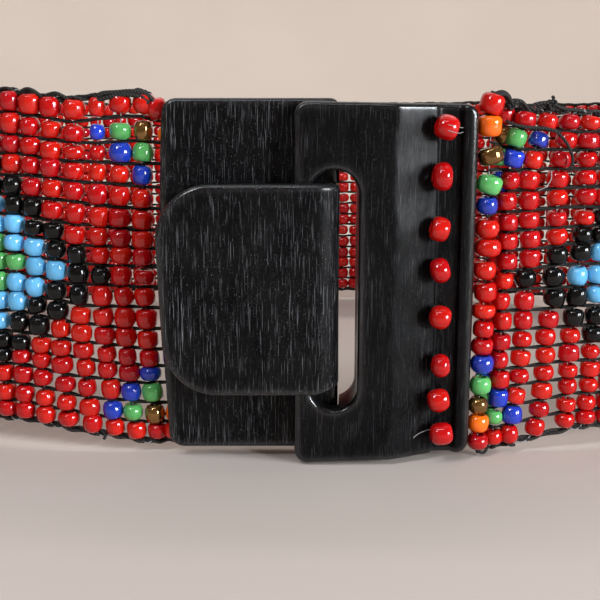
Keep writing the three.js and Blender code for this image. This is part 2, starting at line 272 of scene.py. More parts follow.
class WaistLoop:
    """Half the band seen from above, as a path from its end at the buckle past the middle of the back.

    A straight run at the front, a quarter ellipse to the side, a quarter ellipse to the back and a
    straight run to and past the middle, measured out by adding up short chords.
    """

    def __init__(self, side, band, buckle):
        low, high = (RIGHT_LOW, RIGHT_HIGH) if side > 0 else (LEFT_LOW, LEFT_HIGH)
        radius = band.bead_diameter / 2
        half_depth = high.y - radius
        half_width = max(abs(low.x), abs(high.x)) - radius
        self.side = side
        self.start = SLOT_HIGH.x + buckle.clearance if side > 0 else -(HOOK_LOW.x + buckle.band_seat)
        turn = np.linspace(-math.pi / 2, math.pi / 2, 721)
        round_x = band.front_run + (half_width - band.front_run) * np.cos(turn)
        round_y = half_depth * np.sin(turn)
        self.x = np.concatenate([[self.start], round_x, [0.0, -PAST_MIDDLE]])
        self.y = np.concatenate([[-half_depth], round_y, [half_depth, half_depth]])
        chords = np.hypot(np.diff(self.x), np.diff(self.y))
        self.distance = np.concatenate([[0.0], np.cumsum(chords)])
        self.length = self.distance[-2]

    def place(self, distance, outward, height):
        """A point at a distance along the path, moved outwards from the waist, at a height."""
        distance = np.asarray(distance, float)
        x = np.interp(distance, self.distance, self.x)
        y = np.interp(distance, self.distance, self.y)
        along = self.along(distance)
        return np.stack([
            self.side * (x + along[..., 1] * outward),
            y - along[..., 0] * outward,
            height + np.zeros_like(x),
        ], axis=-1)

    def along(self, distance):
        """The path's direction, from its places half a millimetre behind and ahead."""
        step = 0.5 * MM
        ahead = np.clip(distance + step, 2 * step, self.distance[-1])
        behind = np.clip(distance - step, 0, self.distance[-1] - 2 * step)
        x = np.interp(ahead, self.distance, self.x) - np.interp(behind, self.distance, self.x)
        y = np.interp(ahead, self.distance, self.y) - np.interp(behind, self.distance, self.y)
        return unit(np.stack([x, y], axis=-1))

    def outward(self, distance):
        """Square to the path, away from the waist."""
        along = self.along(distance)
        return np.stack([self.side * along[..., 1], -along[..., 0], np.zeros_like(along[..., 0])], axis=-1)

    def forward(self, distance):
        """Along the path, away from the buckle."""
        along = self.along(distance)
        return np.stack([self.side * along[..., 0], along[..., 1], np.zeros_like(along[..., 0])], axis=-1)


# Where the first columns lie, in millimetres: middle row's distance from the start of the band's half,
# lean of the top against the middle, bow of the ends against the middle, and how far they stand out
RIGHT_COLUMNS = {
    1: dict(middle=2.1, lean=0.25, outward=3.1),
    2: dict(middle=4.4, lean=1.1, outward=-0.9),
    3: dict(middle=6.6, outward=0.5),
    4: dict(middle=11.1, outward=0.2),
    5: dict(middle=16.8),
    6: dict(middle=21.8),
    7: dict(middle=26.2, lean=1.0),
}
LEFT_COLUMNS = {
    1: dict(middle=0.9),
    2: dict(middle=6.3, lean=0.4, bow=-1.4),
    3: dict(middle=10.7, lean=0.4, bow=-1.4),
    4: dict(middle=15.0, lean=0.5, bow=-1.3),
    5: dict(middle=19.7, lean=0.5, bow=-1.2),
    6: dict(middle=24.3, lean=0.4, bow=-1.0),
    7: dict(middle=28.6, lean=0.1, bow=-0.7),
    8: dict(middle=32.9, lean=-0.1, bow=-0.6),
}
# Columns past the table over which its last stand-out, lean and bow die away
FADE_COLUMNS = 6

# Distances of columns that wander too much for a lean and a bow, row by row from the top
LEFT_WANDERING = {
    1: (2.9, 0.6, 0.5, 0.6, 0.7, 0.8, 0.9, 0.9, 0.9, 0.9, 0.9, 0.8, 0.7, 0.6, 0.5, 0.6, 1.0),
}
RIGHT_WANDERING = {
    3: (9.3, 7.8, 7.3, 6.8, 6.5, 6.8, 6.8, 6.8, 6.5, 6.1, 6.5, 6.2, 6.2, 6.4, 6.1, 5.4, 5.5),
    4: (13.8, 12.2, 11.2, 10.7, 11.0, 11.0, 11.4, 11.8, 10.9,
        10.7, 10.7, 10.7, 10.6, 10.5, 9.9, 9.2, 8.9),
    5: (18.3, 18.1, 16.7, 16.7, 16.5, 16.8, 17.1, 17.3, 16.8,
        16.9, 16.0, 15.8, 15.7, 15.6, 15.5, 15.0, 14.3),
    6: (22.7, 22.4, 22.4, 22.4, 22.6, 22.5, 22.5, 22.3, 21.8,
        21.9, 21.1, 20.9, 20.7, 20.6, 20.8, 20.7, 20.5),
}

# Heights of the rows from the top, followed down a few columns, in millimetres
RIGHT_ROWS = {
    1: (33.4, 29.2, 23.6, 18.2, 14.2, 9.7, 6.0, 1.5, -2.9,
        -6.6, -10.2, -13.8, -17.4, -21.8, -25.8, -29.7, -33.5),
    3: (30.5, 26.8, 22.9, 18.7, 14.7, 10.7, 6.8, 2.9, -1.0,
        -5.1, -9.1, -13.3, -17.2, -21.1, -25.2, -29.2, -33.4),
    6: (29.7, 26.3, 22.7, 19.2, 15.5, 11.5, 8.0, 4.3, -0.4,
        -4.7, -9.0, -12.5, -16.1, -19.8, -23.2, -27.0, -30.2),
}
LEFT_ROWS = {
    1: (31.7, 27.8, 24.0, 19.7, 15.3, 11.0, 7.0, 3.8, -0.3,
        -4.3, -8.9, -13.1, -17.0, -20.3, -24.0, -28.4, -32.2),
    2: (33.9, 28.4, 24.2, 19.8, 15.3, 11.0, 7.0, 3.8, -0.3,
        -4.3, -8.9, -13.1, -17.0, -20.3, -24.0, -28.6, -32.5),
    5: (32.3, 27.8, 24.2, 20.6, 16.5, 12.1, 8.0, 4.1, 0.2,
        -4.1, -8.1, -11.9, -15.5, -19.1, -23.2, -27.3, -30.6),
    8: (33.9, 29.8, 25.7, 21.9, 17.6, 13.8, 9.8, 6.1, 2.3,
        -1.8, -5.9, -10.2, -14.6, -17.7, -21.3, -25.2, -28.7),
}

# Where the rows have come level: distance along the band's half, and their rise there on the left
LEVEL_STATIONS = table("distance rise", (70, 2.1), (190, 0.0))
# Slow waves of the rows in millimetres, their shift from row to row, and where they reach full height
ROW_WAVES = table("height length shift", (0.20, 7.1, 0.55), (0.20, 13.7, -0.9), (0.10, 3.9, 1.7))
WAVES_FULL = 60 * MM


class BandLayout:
    """Where the beads and cords of half the band lie, in distance along the loop, height and stand-out.

    Near the buckle rows and columns follow the tables. Farther on they are evenly spaced up to the
    middle of the back, and the rows wander in slow waves that die away where the halves meet.
    """

    def __init__(self, side, band, buckle):
        self.loop = WaistLoop(side, band, buckle)
        self.row_pitch = band.row_pitch
        self.rng = np.random.default_rng(band.seed + (0 if side > 0 else 1))
        table, other = (RIGHT_COLUMNS, LEFT_COLUMNS) if side > 0 else (LEFT_COLUMNS, RIGHT_COLUMNS)
        far_loop = WaistLoop(-side, band, buckle)
        first, far_first = max(table), max(other)
        here = table[first]["middle"] * MM
        there = far_loop.length + self.loop.length - other[far_first]["middle"] * MM
        pitch = (there - here) / (COLUMNS + 1 - first - far_first)
        self.count = COLUMNS // 2 + (1 if side < 0 else 0)
        self.columns = np.arange(1, self.count + 1)
        self.middle = np.array([
            table[c]["middle"] * MM if c in table else here + (c - first) * pitch
            for c in self.columns])
        self.stand_out = self.from_table(table, "outward")
        top = (MIDDLE_ROW - np.arange(ROWS)) / MIDDLE_ROW
        self.grid = (
            self.middle[:, None] + self.from_table(table, "lean")[:, None] * top
            + self.from_table(table, "bow")[:, None] * top ** 2)
        for column, row_distances in (RIGHT_WANDERING if side > 0 else LEFT_WANDERING).items():
            self.grid[column - 1] = np.array(row_distances) * MM
        rows = RIGHT_ROWS if side > 0 else LEFT_ROWS
        level = (MIDDLE_ROW - np.arange(ROWS)) * band.row_pitch
        rises = [station["rise"] * MM if side < 0 else 0.0 for station in LEVEL_STATIONS]
        self.stations = np.array(
            [self.middle[column - 1] for column in rows]
            + [station["distance"] * MM for station in LEVEL_STATIONS])
        self.station_heights = np.concatenate([
            np.array(list(rows.values())) * MM, [level + rise for rise in rises]])
        self.wave_phase = self.rng.uniform(0, 2 * math.pi, len(ROW_WAVES))

    def from_table(self, table, key):
        """A table value for each column, dying away past the table's last column."""
        last = max(table)
        values = [
            table[c].get(key, 0.0) if c in table
            else table[last].get(key, 0.0) * math.exp(-(c - last) / FADE_COLUMNS)
            for c in self.columns]
        return np.array(values) * MM

    def distances(self, row):
        """Distances of all columns along the loop, at a row that may lie between two or past the edge."""
        above = min(max(math.floor(row), 0), ROWS - 2)
        return self.grid[:, above] + (row - above) * (self.grid[:, above + 1] - self.grid[:, above])

    def height(self, distance, row):
        """Height of a row that may lie between two or past the edge, with slow waves added."""
        distance, row = np.broadcast_arrays(np.asarray(distance, float), np.asarray(row, float))
        within = np.clip(row, 0, ROWS - 1)
        levels = np.stack([
            np.interp(distance, self.stations, self.station_heights[:, i]) for i in range(ROWS)], axis=-1)
        above = np.clip(np.floor(within).astype(int), 0, ROWS - 2)
        high = np.take_along_axis(levels, above[..., None], axis=-1)[..., 0]
        low = np.take_along_axis(levels, above[..., None] + 1, axis=-1)[..., 0]
        wave = sum(
            w["height"] * MM * np.sin(distance / (w["length"] * MM) + w["shift"] * row + phase)
            for w, phase in zip(ROW_WAVES, self.wave_phase))
        far = soft_step((distance - self.stations[0]) / WAVES_FULL)
        back = soft_step((self.loop.length - distance) / PAST_MIDDLE)
        beyond = (within - row) * self.row_pitch
        return high + (within - above) * (low - high) + beyond + wave * far * back


# Tilt in degrees of each bead in the groove, and its width, length and sideways shift in millimetres
ANCHOR_LOOKS = table(
    "tilt width length shift",
    (18, 5.0, 4.3, -0.4),
    (2, 5.6, 3.7, -1.0),
    (14, 4.75, 3.6, -1.2),
    (-15, 4.9, 3.6, -0.9),
    (10, 4.75, 3.9, -0.7),
    (-4, 4.5, 3.5, -0.35),
    (-12, 4.45, 4.2, -0.5),
    (-6, 4.5, 4.4, 0.2),
)
ANCHOR_SIDES = 20


def drilled_profile(start, *shoulder):
    """A bead's closed outline: its start, one shoulder, the hole, and the shoulder mirrored back.

    Each row is a share of the bead's radius and one of its half length, and the hole's radius is 0.
    """
    mirrored = [(radius, -along) for radius, along in reversed(shoulder)]
    return [start, *shoulder, (0.0, 0.0), *(row for row in mirrored if row != start)]


BEAD_PROFILE = drilled_profile((1.0, -0.22), (1.0, 0.22), (0.93, 0.62), (0.73, 0.91), (0.48, 1.0))
BEAD_SIDES = 10
ANCHOR_PROFILE = drilled_profile((1.0, 0.0), (0.97, 0.36), (0.87, 0.66), (0.68, 0.90), (0.42, 1.0))
# How unevenly beads are shaped, how far they stray from their places, and how their sizes vary
SHAPE_SPREAD = dict(fullness=0.05, taper=0.035, oval=0.05, slant=0.055)
PLACE_SPREAD = dict(distance=0.10 * MM, height=0.06 * MM, outward=0.10 * MM, tilt=0.055, nod=0.055)
WIDTH_SPREAD = dict(mean=0.985, spread=0.03, least=0.90, most=1.04)
LENGTH_SPREAD = dict(mean=1.0, spread=0.07, least=0.80, most=1.08)


def bead_shapes(centres, axes, facing, diameters, lengths, hole, rng, profile, sides):
    """Drilled beads as one array: a closed profile turned round each bead's hole, then made uneven.

    A point is centre + radius (cos t across + sin t facing) + height along the hole, where each
    bead has its own oval, taper, slanted ends and fullness of its shoulders.
    """
    count = len(centres)
    axes = unit(axes)
    across = unit(np.cross(facing, axes))
    front = np.cross(axes, across)
    turn = np.arange(sides) * 2 * math.pi / sides
    fullness = rng.uniform(-SHAPE_SPREAD["fullness"], SHAPE_SPREAD["fullness"], (count, 1, 1))
    radius_share, along_share = np.array(profile).T[:, None, :, None]
    is_hole = radius_share == 0
    shoulder = (radius_share < 0.95) & ~is_hole
    radius = diameters[:, None, None] / 2 * (radius_share + fullness * shoulder)
    radius = np.where(is_hole, hole / 2, radius)
    taper = rng.normal(0, SHAPE_SPREAD["taper"], (count, 1, 1))
    radius = radius * (1 + taper * along_share)
    oval = rng.uniform(1 - SHAPE_SPREAD["oval"], 1 + SHAPE_SPREAD["oval"], (count, 1, 1))
    x = radius * np.cos(turn) * oval
    y = radius * np.sin(turn) / oval
    slant = rng.normal(0, SHAPE_SPREAD["slant"], (count, 1, 1))
    slant_turn = rng.uniform(0, 2 * math.pi, (count, 1, 1))
    reach = (x * np.cos(slant_turn) + y * np.sin(slant_turn)) / (diameters[:, None, None] / 2)
    z = lengths[:, None, None] / 2 * along_share * (1 + slant * reach)
    points = (
        centres[:, None, None]
        + x[..., None] * across[:, None, None]
        + y[..., None] * front[:, None, None]
        + z[..., None] * axes[:, None, None])
    return points.reshape(-1, 3)


def bead_faces(count, profile, sides):
    """Quads of many beads, each a grid wrapped round both ways."""
    quads = grid_quads(len(profile), sides, wrap_rows=True, wrap_columns=True)
    return many_grids(count, quads, len(profile) * sides)


# The first column right of the buckle, whose beads stand in front: width and length, and their tilt
END_LOOKS = table(
    "width length tilt",
    (4.6, 4.0, 18),
    (4.4, 4.0, 0),
    (4.8, 3.4, -18),
    (4.8, 3.6, 14),
    (4.3, 3.3, 0),
    (4.7, 3.7, 0),
    (5.2, 3.5, 2),
    (4.7, 3.6, 0),
    (4.7, 3.8, -6),
    (4.9, 2.9, 0),
    (4.4, 3.4, 3),
    (4.5, 3.3, 0),
    (4.9, 3.6, 0),
    (4.4, 3.6, -3),
    (4.0, 3.3, 0),
    (4.2, 3.6, 4),
    (4.5, 3.2, 0),
)

# Widths and lengths of the first four beads down the left columns beside the buckle, in millimetres
LEFT_LOOKS = {
    2: dict(widths=(4.5, 3.8, 4.2, 4.2), lengths=(3.8, 3.9, 3.7, 3.8)),
    3: dict(widths=(4.2, 4.3, 4.5, 4.1), lengths=(3.6, 3.2, 3.9, 3.5)),
    4: dict(widths=(3.4, 3.3, 3.4, 3.5), lengths=(3.8, 3.0, 2.8, 3.2)),
    5: dict(widths=(4.5, 4.3, 4.3, 4.2), lengths=(4.2, 3.3, 2.6, 3.2)),
}


def strayed(rng, spread, shape):
    """Shares drawn round a mean and kept between the least and the most."""
    return np.clip(rng.normal(spread["mean"], spread["spread"], shape), spread["least"], spread["most"])


def band_beads(side, band, buckle):
    """Centres, hole directions, outward directions, sizes and colours of half the band's beads."""
    layout = BandLayout(side, band, buckle)
    rng = layout.rng
    rows = np.arange(ROWS)
    distance = np.stack([layout.distances(row) for row in rows], axis=1)
    step = 0.25
    above = np.stack([layout.distances(row - step) for row in rows], axis=1)
    below = np.stack([layout.distances(row + step) for row in rows], axis=1)
    room = layout.height(distance, rows[None, :] - 0.5) - layout.height(distance, rows[None, :] + 0.5)
    shape = distance.shape
    distance = distance + rng.normal(0, PLACE_SPREAD["distance"], shape)
    height = layout.height(distance, rows[None, :]) + rng.normal(0, PLACE_SPREAD["height"], shape)
    outward = layout.stand_out[:, None] + rng.normal(0, PLACE_SPREAD["outward"], shape)
    tilt = rng.normal(0, PLACE_SPREAD["tilt"], shape)
    nod = rng.normal(0, PLACE_SPREAD["nod"], shape)
    diameter = band.bead_diameter * strayed(rng, WIDTH_SPREAD, shape)
    fullness = band.right_fullness if side > 0 else band.left_fullness
    room = np.minimum(room, band.bead_diameter)
    length = fullness * room * strayed(rng, LENGTH_SPREAD, shape)
    if side > 0:
        width = np.array([look["width"] for look in END_LOOKS]) * MM
        diameter[0] = width
        length[0] = np.array([look["length"] for look in END_LOOKS]) * MM
        tilt[0] = np.radians([look["tilt"] for look in END_LOOKS])
        distance[0] += (width - band.bead_diameter) / 2
    else:
        for column, looks in LEFT_LOOKS.items():
            shown = len(looks["widths"])
            diameter[column - 1, :shown] = np.array(looks["widths"]) * MM
            length[column - 1, :shown] = np.array(looks["lengths"]) * MM
    centres = layout.loop.place(distance, outward, height)
    lean = (above - below) / (2 * step * band.row_pitch)
    forward = layout.loop.forward(distance)
    out = layout.loop.outward(distance)
    up = np.array([0.0, 0.0, 1.0])
    axes = up + forward * (lean + tilt)[..., None] + out * nod[..., None]
    colour = np.array([[chart_colour(c, r) for r in rows] for c in layout.columns])
    return [a.reshape(-1, *a.shape[2:]) for a in (centres, axes, out, diameter, length, colour)], rng


# Cords and threads: samples a column, how far they swing out and up, and where the edge cords run
CORD_SAMPLES = 4
CORD_SIDES = 4
CORD_START = 0.75
CORD_OUT = 0.42 * MM
CORD_UP = 0.16 * MM
EDGE_SAMPLES = 6
EDGE_SIDES = 6
EDGE_ROW = 0.52
EDGE_OUT = 0.50 * MM
EDGE_UP = 0.30 * MM
EDGE_ARCH = 0.22 * MM
THREAD_SAMPLES = 8
THREAD_SIDES = 4
EDGE_THREAD_SIDES = 5
THREAD_OUT = 0.65 * MM
# Slow wander of the cords up and down: its height, and the angle that each column and row adds
CORD_WANDER = dict(height=0.10 * MM, column=1.9, row=2.3)
# Where a thread leaves one column and how far towards the next it comes, and its row over the edge
EDGE_THREAD = dict(leaves=0.06, spans=0.88, row=0.30, swing=0.32)
# Directions that settle how the sides of cords and threads are turned about their paths
UP = (0.0, 0.0, 1.0)
NEARLY_FORWARD = (0.0, -1.0, 0.02)
LOOSE_REFERENCE = (0.02, -1.0, 0.05)


def tubes(paths, radius, sides, reference, twist_length=1.0 * MM):
    """Round cords along many paths of equally many points, with flat ends and a UV map along them.

    A ring stands square to the path at each point: centre + radius (cos t side + sin t above), where
    side is square to the path and to the reference direction.
    """
    paths = np.asarray(paths, float)
    reference = np.broadcast_to(np.asarray(reference, float), paths.shape)
    along = unit(np.gradient(paths, axis=1))
    side = unit(np.cross(along, reference))
    above = np.cross(side, along)
    turn = np.arange(sides) * 2 * math.pi / sides
    radius = np.broadcast_to(np.asarray(radius, float), paths.shape[:2])[..., None, None]
    points = paths[:, :, None] + radius * (
        np.cos(turn)[None, None, :, None] * side[:, :, None]
        + np.sin(turn)[None, None, :, None] * above[:, :, None])
    count, length = paths.shape[:2]
    quads = grid_quads(length, sides, wrap_columns=True)
    faces = outward_faces(points[0].reshape(-1, 3), [quads])[0]
    flipped = faces is not quads
    ring = np.arange(sides)[None, :]
    caps = np.concatenate([ring[:, ::-1], ring + (length - 1) * sides])
    caps = caps[:, ::-1] if flipped else caps
    all_quads = many_grids(count, faces, length * sides)
    shift = (np.arange(count) * length * sides)[:, None, None]
    all_caps = (caps[None] + shift).reshape(-1, sides)
    steps = np.linalg.norm(np.diff(paths, axis=1), axis=-1)
    run = np.concatenate([np.zeros((count, 1)), np.cumsum(steps, axis=1)], axis=1) / twist_length
    corner_turn = grid_turns(length, sides)
    if flipped:
        corner_turn = corner_turn[:, ::-1]
    run_at = np.repeat(run[:, :, None], sides, axis=2).reshape(-1)
    quad_uv = np.stack([
        np.broadcast_to(corner_turn[None], (count, *corner_turn.shape)).reshape(-1, 4),
        run_at[all_quads],
    ], axis=-1).reshape(-1, 2)
    cap_uv = np.stack([np.zeros(all_caps.shape), run_at[all_caps]], axis=-1).reshape(-1, 2)
    return points.reshape(-1, 3), [all_quads, all_caps], np.concatenate([quad_uv, cap_uv])


def grid_turns(rows, sides):
    """The share of a turn at each corner of a tube's quads, running past one at the seam."""
    column = np.arange(sides)[None, :]
    corners = np.stack([column, column + 1, column + 1, column], axis=-1) / sides
    return np.broadcast_to(corners, (rows - 1, sides, 4)).reshape(-1, 4)


def joined(parts):
    """Several sets of tubes as one: their points, all their quads and then their ends, and their UVs."""
    points, quads, caps, quad_uv, cap_uv = [], [], [], [], []
    start = 0
    for part_points, (part_quads, part_caps), uv in parts:
        points.append(part_points)
        quads.append(part_quads + start)
        caps.append(part_caps + start)
        quad_uv.append(uv[:part_quads.size])
        cap_uv.append(uv[part_quads.size:])
        start += len(part_points)
    return np.concatenate(points), [np.concatenate(quads), *caps], np.concatenate(quad_uv + cap_uv)


# Loose cords on the band, through (x, stand-out, z) in millimetres, and their width
LOOSE_CORDS = table(
    "width points",
    (0.95, ((-42.4, 0.6, 34.4), (-40.6, 1.0, 35.3), (-38.0, 1.0, 35.5), (-35.0, 1.1, 35.7),
        (-32.6, 1.2, 35.3), (-31.1, 1.4, 34.2), (-30.7, 1.2, 33.2))),
    (0.9, ((-42.0, 0.9, 34.0), (-38.8, 1.4, 34.7), (-35.6, 1.5, 35.1), (-33.0, 1.6, 34.6),
        (-31.6, 1.7, 33.5))),
    (0.7, ((-58.0, 0.2, 35.2), (-55.8, 0.9, 36.2), (-54.1, 1.0, 35.8), (-52.9, 0.3, 34.7))),
    (0.7, ((-52.4, 0.2, 34.9), (-50.0, 0.9, 35.4), (-48.4, 1.0, 34.9), (-47.2, 0.3, 34.0))),
    (0.6, ((-43.6, 0.6, -32.3), (-42.6, 0.9, -33.2), (-42.9, 1.3, -34.0))),
    (0.6, ((-36.9, 0.8, -33.3), (-35.8, 1.2, -34.3), (-34.6, 1.0, -34.1))),
    (0.85, ((33.4, 3.4, 34.4), (34.2, 3.6, 35.3), (35.5, 3.2, 35.5), (36.7, 2.4, 34.7),
        (37.3, 1.6, 33.4))),
    (0.8, ((33.7, 2.8, 33.8), (34.6, 3.1, 34.7), (35.8, 2.6, 34.8), (36.8, 1.8, 33.8),
        (37.2, 1.4, 33.0))),
    (0.75, ((33.2, 3.0, 34.1), (34.5, 3.9, 35.0), (35.9, 3.4, 35.1), (37.0, 2.4, 34.1),
        (37.6, 1.7, 33.2))),
    (0.75, ((36.6, 1.6, 33.2), (37.6, 2.0, 34.0), (39.2, 1.9, 33.8), (40.5, 1.2, 32.7),
        (40.9, 0.5, 31.9))),
    (0.7, ((36.9, 0.9, 32.5), (38.2, 1.3, 33.3), (39.6, 1.1, 32.8), (40.3, 0.6, 32.0))),
    (0.75, ((40.3, 0.7, 32.0), (41.9, 1.3, 33.2), (43.9, 1.4, 33.6), (45.4, 1.3, 33.4),
        (46.8, 1.0, 32.8), (48.8, 0.6, 32.3), (52.0, 0.4, 32.1))),
    (0.65, ((40.8, 0.4, 31.6), (42.6, 0.9, 32.5), (44.4, 1.0, 32.8), (45.8, 0.9, 32.5))),
    (0.6, ((45.1, 1.5, 33.5), (45.4, 1.8, 34.4), (45.1, 1.9, 34.8))),
    (0.62, ((36.3, 2.4, 30.2), (38.2, 2.9, 29.4), (40.7, 3.0, 29.0), (43.4, 3.1, 28.8),
        (45.6, 3.3, 28.2), (47.3, 3.4, 26.6), (48.6, 3.3, 24.6), (49.3, 3.0, 22.8),
        (49.2, 2.7, 21.6))),
    (0.24, ((49.3, 2.8, 22.3), (49.8, 3.0, 21.3), (49.7, 3.1, 20.3))),
    (0.24, ((49.2, 2.8, 22.2), (49.1, 2.9, 21.1), (49.2, 2.9, 20.0))),
    (0.22, ((49.2, 2.8, 22.1), (48.7, 2.9, 21.2), (48.5, 3.0, 20.6))),
    (0.62, ((32.7, 3.0, -34.3), (33.3, 3.4, -35.6), (34.4, 3.3, -35.9), (35.3, 2.6, -34.9))),
    (0.62, ((38.9, 1.0, -33.9), (39.9, 1.5, -35.0), (41.0, 1.5, -35.0))),
)
# The loose thread on the right, in the same way
LOOSE_THREADS = table(
    "width points",
    (0.2, ((45.4, 2.6, 20.6), (45.2, 3.0, 19.0), (44.3, 3.0, 17.7), (43.0, 2.5, 16.9))),
)
# Threads at the anchor beads, through (x, y, z) in millimetres, and their width
ANCHOR_THREADS = table(
    "width points",
    (0.14, ((23.4, -90.0, 29.9), (24.9, -90.5, 29.5), (26.4, -89.3, 29.2), (27.6, -86.6, 29.0))),
    (0.14, ((23.5, -90.1, 28.9), (25.0, -90.5, 28.4), (26.5, -89.2, 28.1), (27.6, -86.6, 28.2))),
    (0.14, ((23.4, -87.1, -29.6), (21.6, -87.7, -29.9), (20.2, -88.3, -30.4), (19.4, -88.6, -31.0))),
)
# Knots, each at (x, stand-out, z) in millimetres and of a size in millimetres
KNOTS = table(
    "place size",
    ((45.2, 1.5, 33.3), 0.62),
    ((34.2, 3.1, 34.4), 0.60),
    ((37.4, 1.7, 33.1), 0.52),
)
KNOT_WIDTH = 0.55 * MM
LOOSE_SAMPLES = 28
LOOSE_SIDES = 8
LOOSE_TWIST = 1.3 * MM
CORD_TWIST = 2.6


def along_band(points, band, buckle):
    """Points given by x, stand-out and height in millimetres, brought onto the band's front."""
    x, outward, height = np.array(points, float).T * MM
    loop = WaistLoop(1 if x.mean() > 0 else -1, band, buckle)
    return loop.place(np.abs(x) - loop.start, outward, height)


def knot_path(centre, size):
    """A trefoil: (sin t + 2 sin 2t, - sin 3t, cos t - 2 cos 2t), scaled and moved to its place."""
    t = np.linspace(0, 2 * math.pi, LOOSE_SAMPLES)
    curve = np.stack([np.sin(t) + 2 * np.sin(2 * t), -np.sin(3 * t), np.cos(t) - 2 * np.cos(2 * t)], axis=1)
    return centre + curve * size * MM / 2


def loose_tubes(paths, widths):
    """Tubes along loose paths, each of its own width."""
    widths = np.array(widths)[:, None] * MM
    return tubes(np.array(paths), widths / 2, LOOSE_SIDES, LOOSE_REFERENCE, LOOSE_TWIST)


def smooth_path(points, count):
    """A Catmull-Rom curve through a few points, sampled evenly in its parameter."""
    points = np.asarray(points, float)
    ends = np.concatenate([[2 * points[0] - points[1]], points, [2 * points[-1] - points[-2]]])
    place = np.linspace(0, len(points) - 1, count)
    i = np.minimum(place.astype(int), len(points) - 2)
    t = (place - i)[:, None]
    a, b, c, d = ends[i], ends[i + 1], ends[i + 2], ends[i + 3]
    return 0.5 * (2 * b + (c - a) * t + (2 * a - 5 * b + 4 * c - d) * t ** 2
                  + (3 * b - a - 3 * c + d) * t ** 3)


def bead_piece(name, beads, chosen, band, rng, material, replaced):
    """One piece of all chosen beads, with a tone and a gloss drawn for each bead."""
    centres, axes, out, diameter, length, _ = [values[chosen] for values in beads]
    count = len(centres)
    points = bead_shapes(
        centres, axes, out, diameter, length, band.bead_hole, rng, BEAD_PROFILE, BEAD_SIDES)
    each = len(BEAD_PROFILE) * BEAD_SIDES
    tone = np.repeat(rng.uniform(0, 1, count), each)
    gloss = np.repeat(rng.uniform(0, 1, count), each)
    return new_piece(
        name, points, bead_faces(count, BEAD_PROFILE, BEAD_SIDES), material, replaced,
        dict(tone=tone, gloss=gloss))


def row_cord_paths(layout):
    """Two cords in each gap between rows, twined: one passes in front of a column, the other behind.

    With c the column counted along the band, they stand out by plus and minus a cos(pi c) and lie
    higher and lower by b sin(pi c), so that they cross half way between columns.
    """
    rows = np.arange(ROWS - 1) + 0.5
    return twined_paths(layout, rows, CORD_SAMPLES, CORD_OUT, CORD_UP, 0.0)


def edge_cord_paths(layout):
    """The same twined pair along both edges, thicker, arching over each column."""
    rows = np.array([-EDGE_ROW, ROWS - 1 + EDGE_ROW])
    return twined_paths(layout, rows, EDGE_SAMPLES, EDGE_OUT, EDGE_UP, EDGE_ARCH)


def column_distance(layout, column, row):
    """Distance along the loop of a column that may lie between two, or half a step past the last."""
    known = layout.distances(row)
    last_step = known[-1] - known[-2]
    inside = np.interp(column, layout.columns, known)
    return inside + np.clip(column - layout.count, 0, None) * last_step


def column_stand_out(layout, column):
    """How far a column that may lie between two stands out."""
    return np.interp(column, layout.columns, layout.stand_out)


def twined_paths(layout, rows, samples, out, up, arch):
    """Pairs of cords that swing out by cos(pi c) and up by sin(pi c), with c the column."""
    column = np.linspace(CORD_START, layout.count + 0.5, int(layout.count * samples))
    paths = []
    for row in rows:
        distance = column_distance(layout, column, row)
        wander = CORD_WANDER["height"] * np.sin(CORD_WANDER["column"] * column + CORD_WANDER["row"] * row)
        bow = arch * np.cos(2 * math.pi * column) * (1 if row < 0 else -1)
        for turn in (1, -1):
            outward = column_stand_out(layout, column) + turn * out * np.cos(math.pi * column)
            lift = turn * up * np.sin(math.pi * column) + wander + bow
            height = layout.height(distance, row) + lift
            paths.append(layout.loop.place(distance, outward, height))
    return np.array(paths)


def column_thread_paths(layout):
    """A thread straight through each column of beads, from edge to edge."""
    rows = np.arange(ROWS + 1) - 0.5
    distance = np.stack([layout.distances(row) for row in rows], axis=1)
    outward = np.broadcast_to(layout.stand_out[:, None], distance.shape)
    return layout.loop.place(distance, outward, layout.height(distance, rows[None, :]))


def edge_thread_paths(layout):
    """Where the thread turns at an edge: out of one column, over the edge cords, into the next.

    With t from 0 to 1 between the two columns, it rises and stands out by sin(pi t).
    """
    t = np.linspace(0, 1, THREAD_SAMPLES)
    swing = np.sin(math.pi * t)
    paths = []
    for edge in (0, ROWS - 1):
        first = 1 + (edge > 0)
        starts = np.arange(first, layout.count, 2)
        column = starts[:, None] + EDGE_THREAD["leaves"] + EDGE_THREAD["spans"] * t
        row = edge + (1 if edge else -1) * (EDGE_THREAD["row"] + EDGE_THREAD["swing"] * swing)
        distance = column_distance(layout, column, edge)
        outward = column_stand_out(layout, column) + THREAD_OUT * swing
        paths.append(layout.loop.place(distance, outward, layout.height(distance, row[None, :])))
    return np.concatenate(paths)


# Carved wood: steps round an edge and steps between its two roundings
EDGE_STEPS = 6
WALL_STEPS = 4
# Points of one corner's arc, and points round each outline
ARC_POINTS = 33
HOOK_POINTS = 320
TONGUE_POINTS = 360
SLOT_PLATE_POINTS = 380
# Rings of a plate without an opening shrink towards an upright line: its width as a share of the
# plate's, how far its ends lie inside the plate, and its place along the tongue's flat stretch
LINE_SHARE = 0.02
HOOK_LINE_INSET = 14 * MM
TONGUE_LINE_INSET = 13 * MM
TONGUE_LINE_PLACE = 0.55
# The radius of the outer edge of the plate behind, in half heights
HOOK_EDGE_BEND = 8
# Where the web is rooted in the plate behind, as a share of its thickness from the back
ROOT_SHARE = 0.75
# How much the tongue's face is hollowed at mid height, and the angle at which its ends lie
TONGUE_HOLLOW = 0.10 * MM
TONGUE_HOLLOW_TURN = 1.3
# How far an edge's rubbing reaches in, and how much of it the slot's hidden edge has. The same mask
# lightens the wood's colour, partly as real rubbing and partly as a painted highlight along the edges
WEAR_AND_HIGHLIGHT_REACH = 0.35 * MM
SLOT_BACK_WEAR_AND_HIGHLIGHT = 0.6
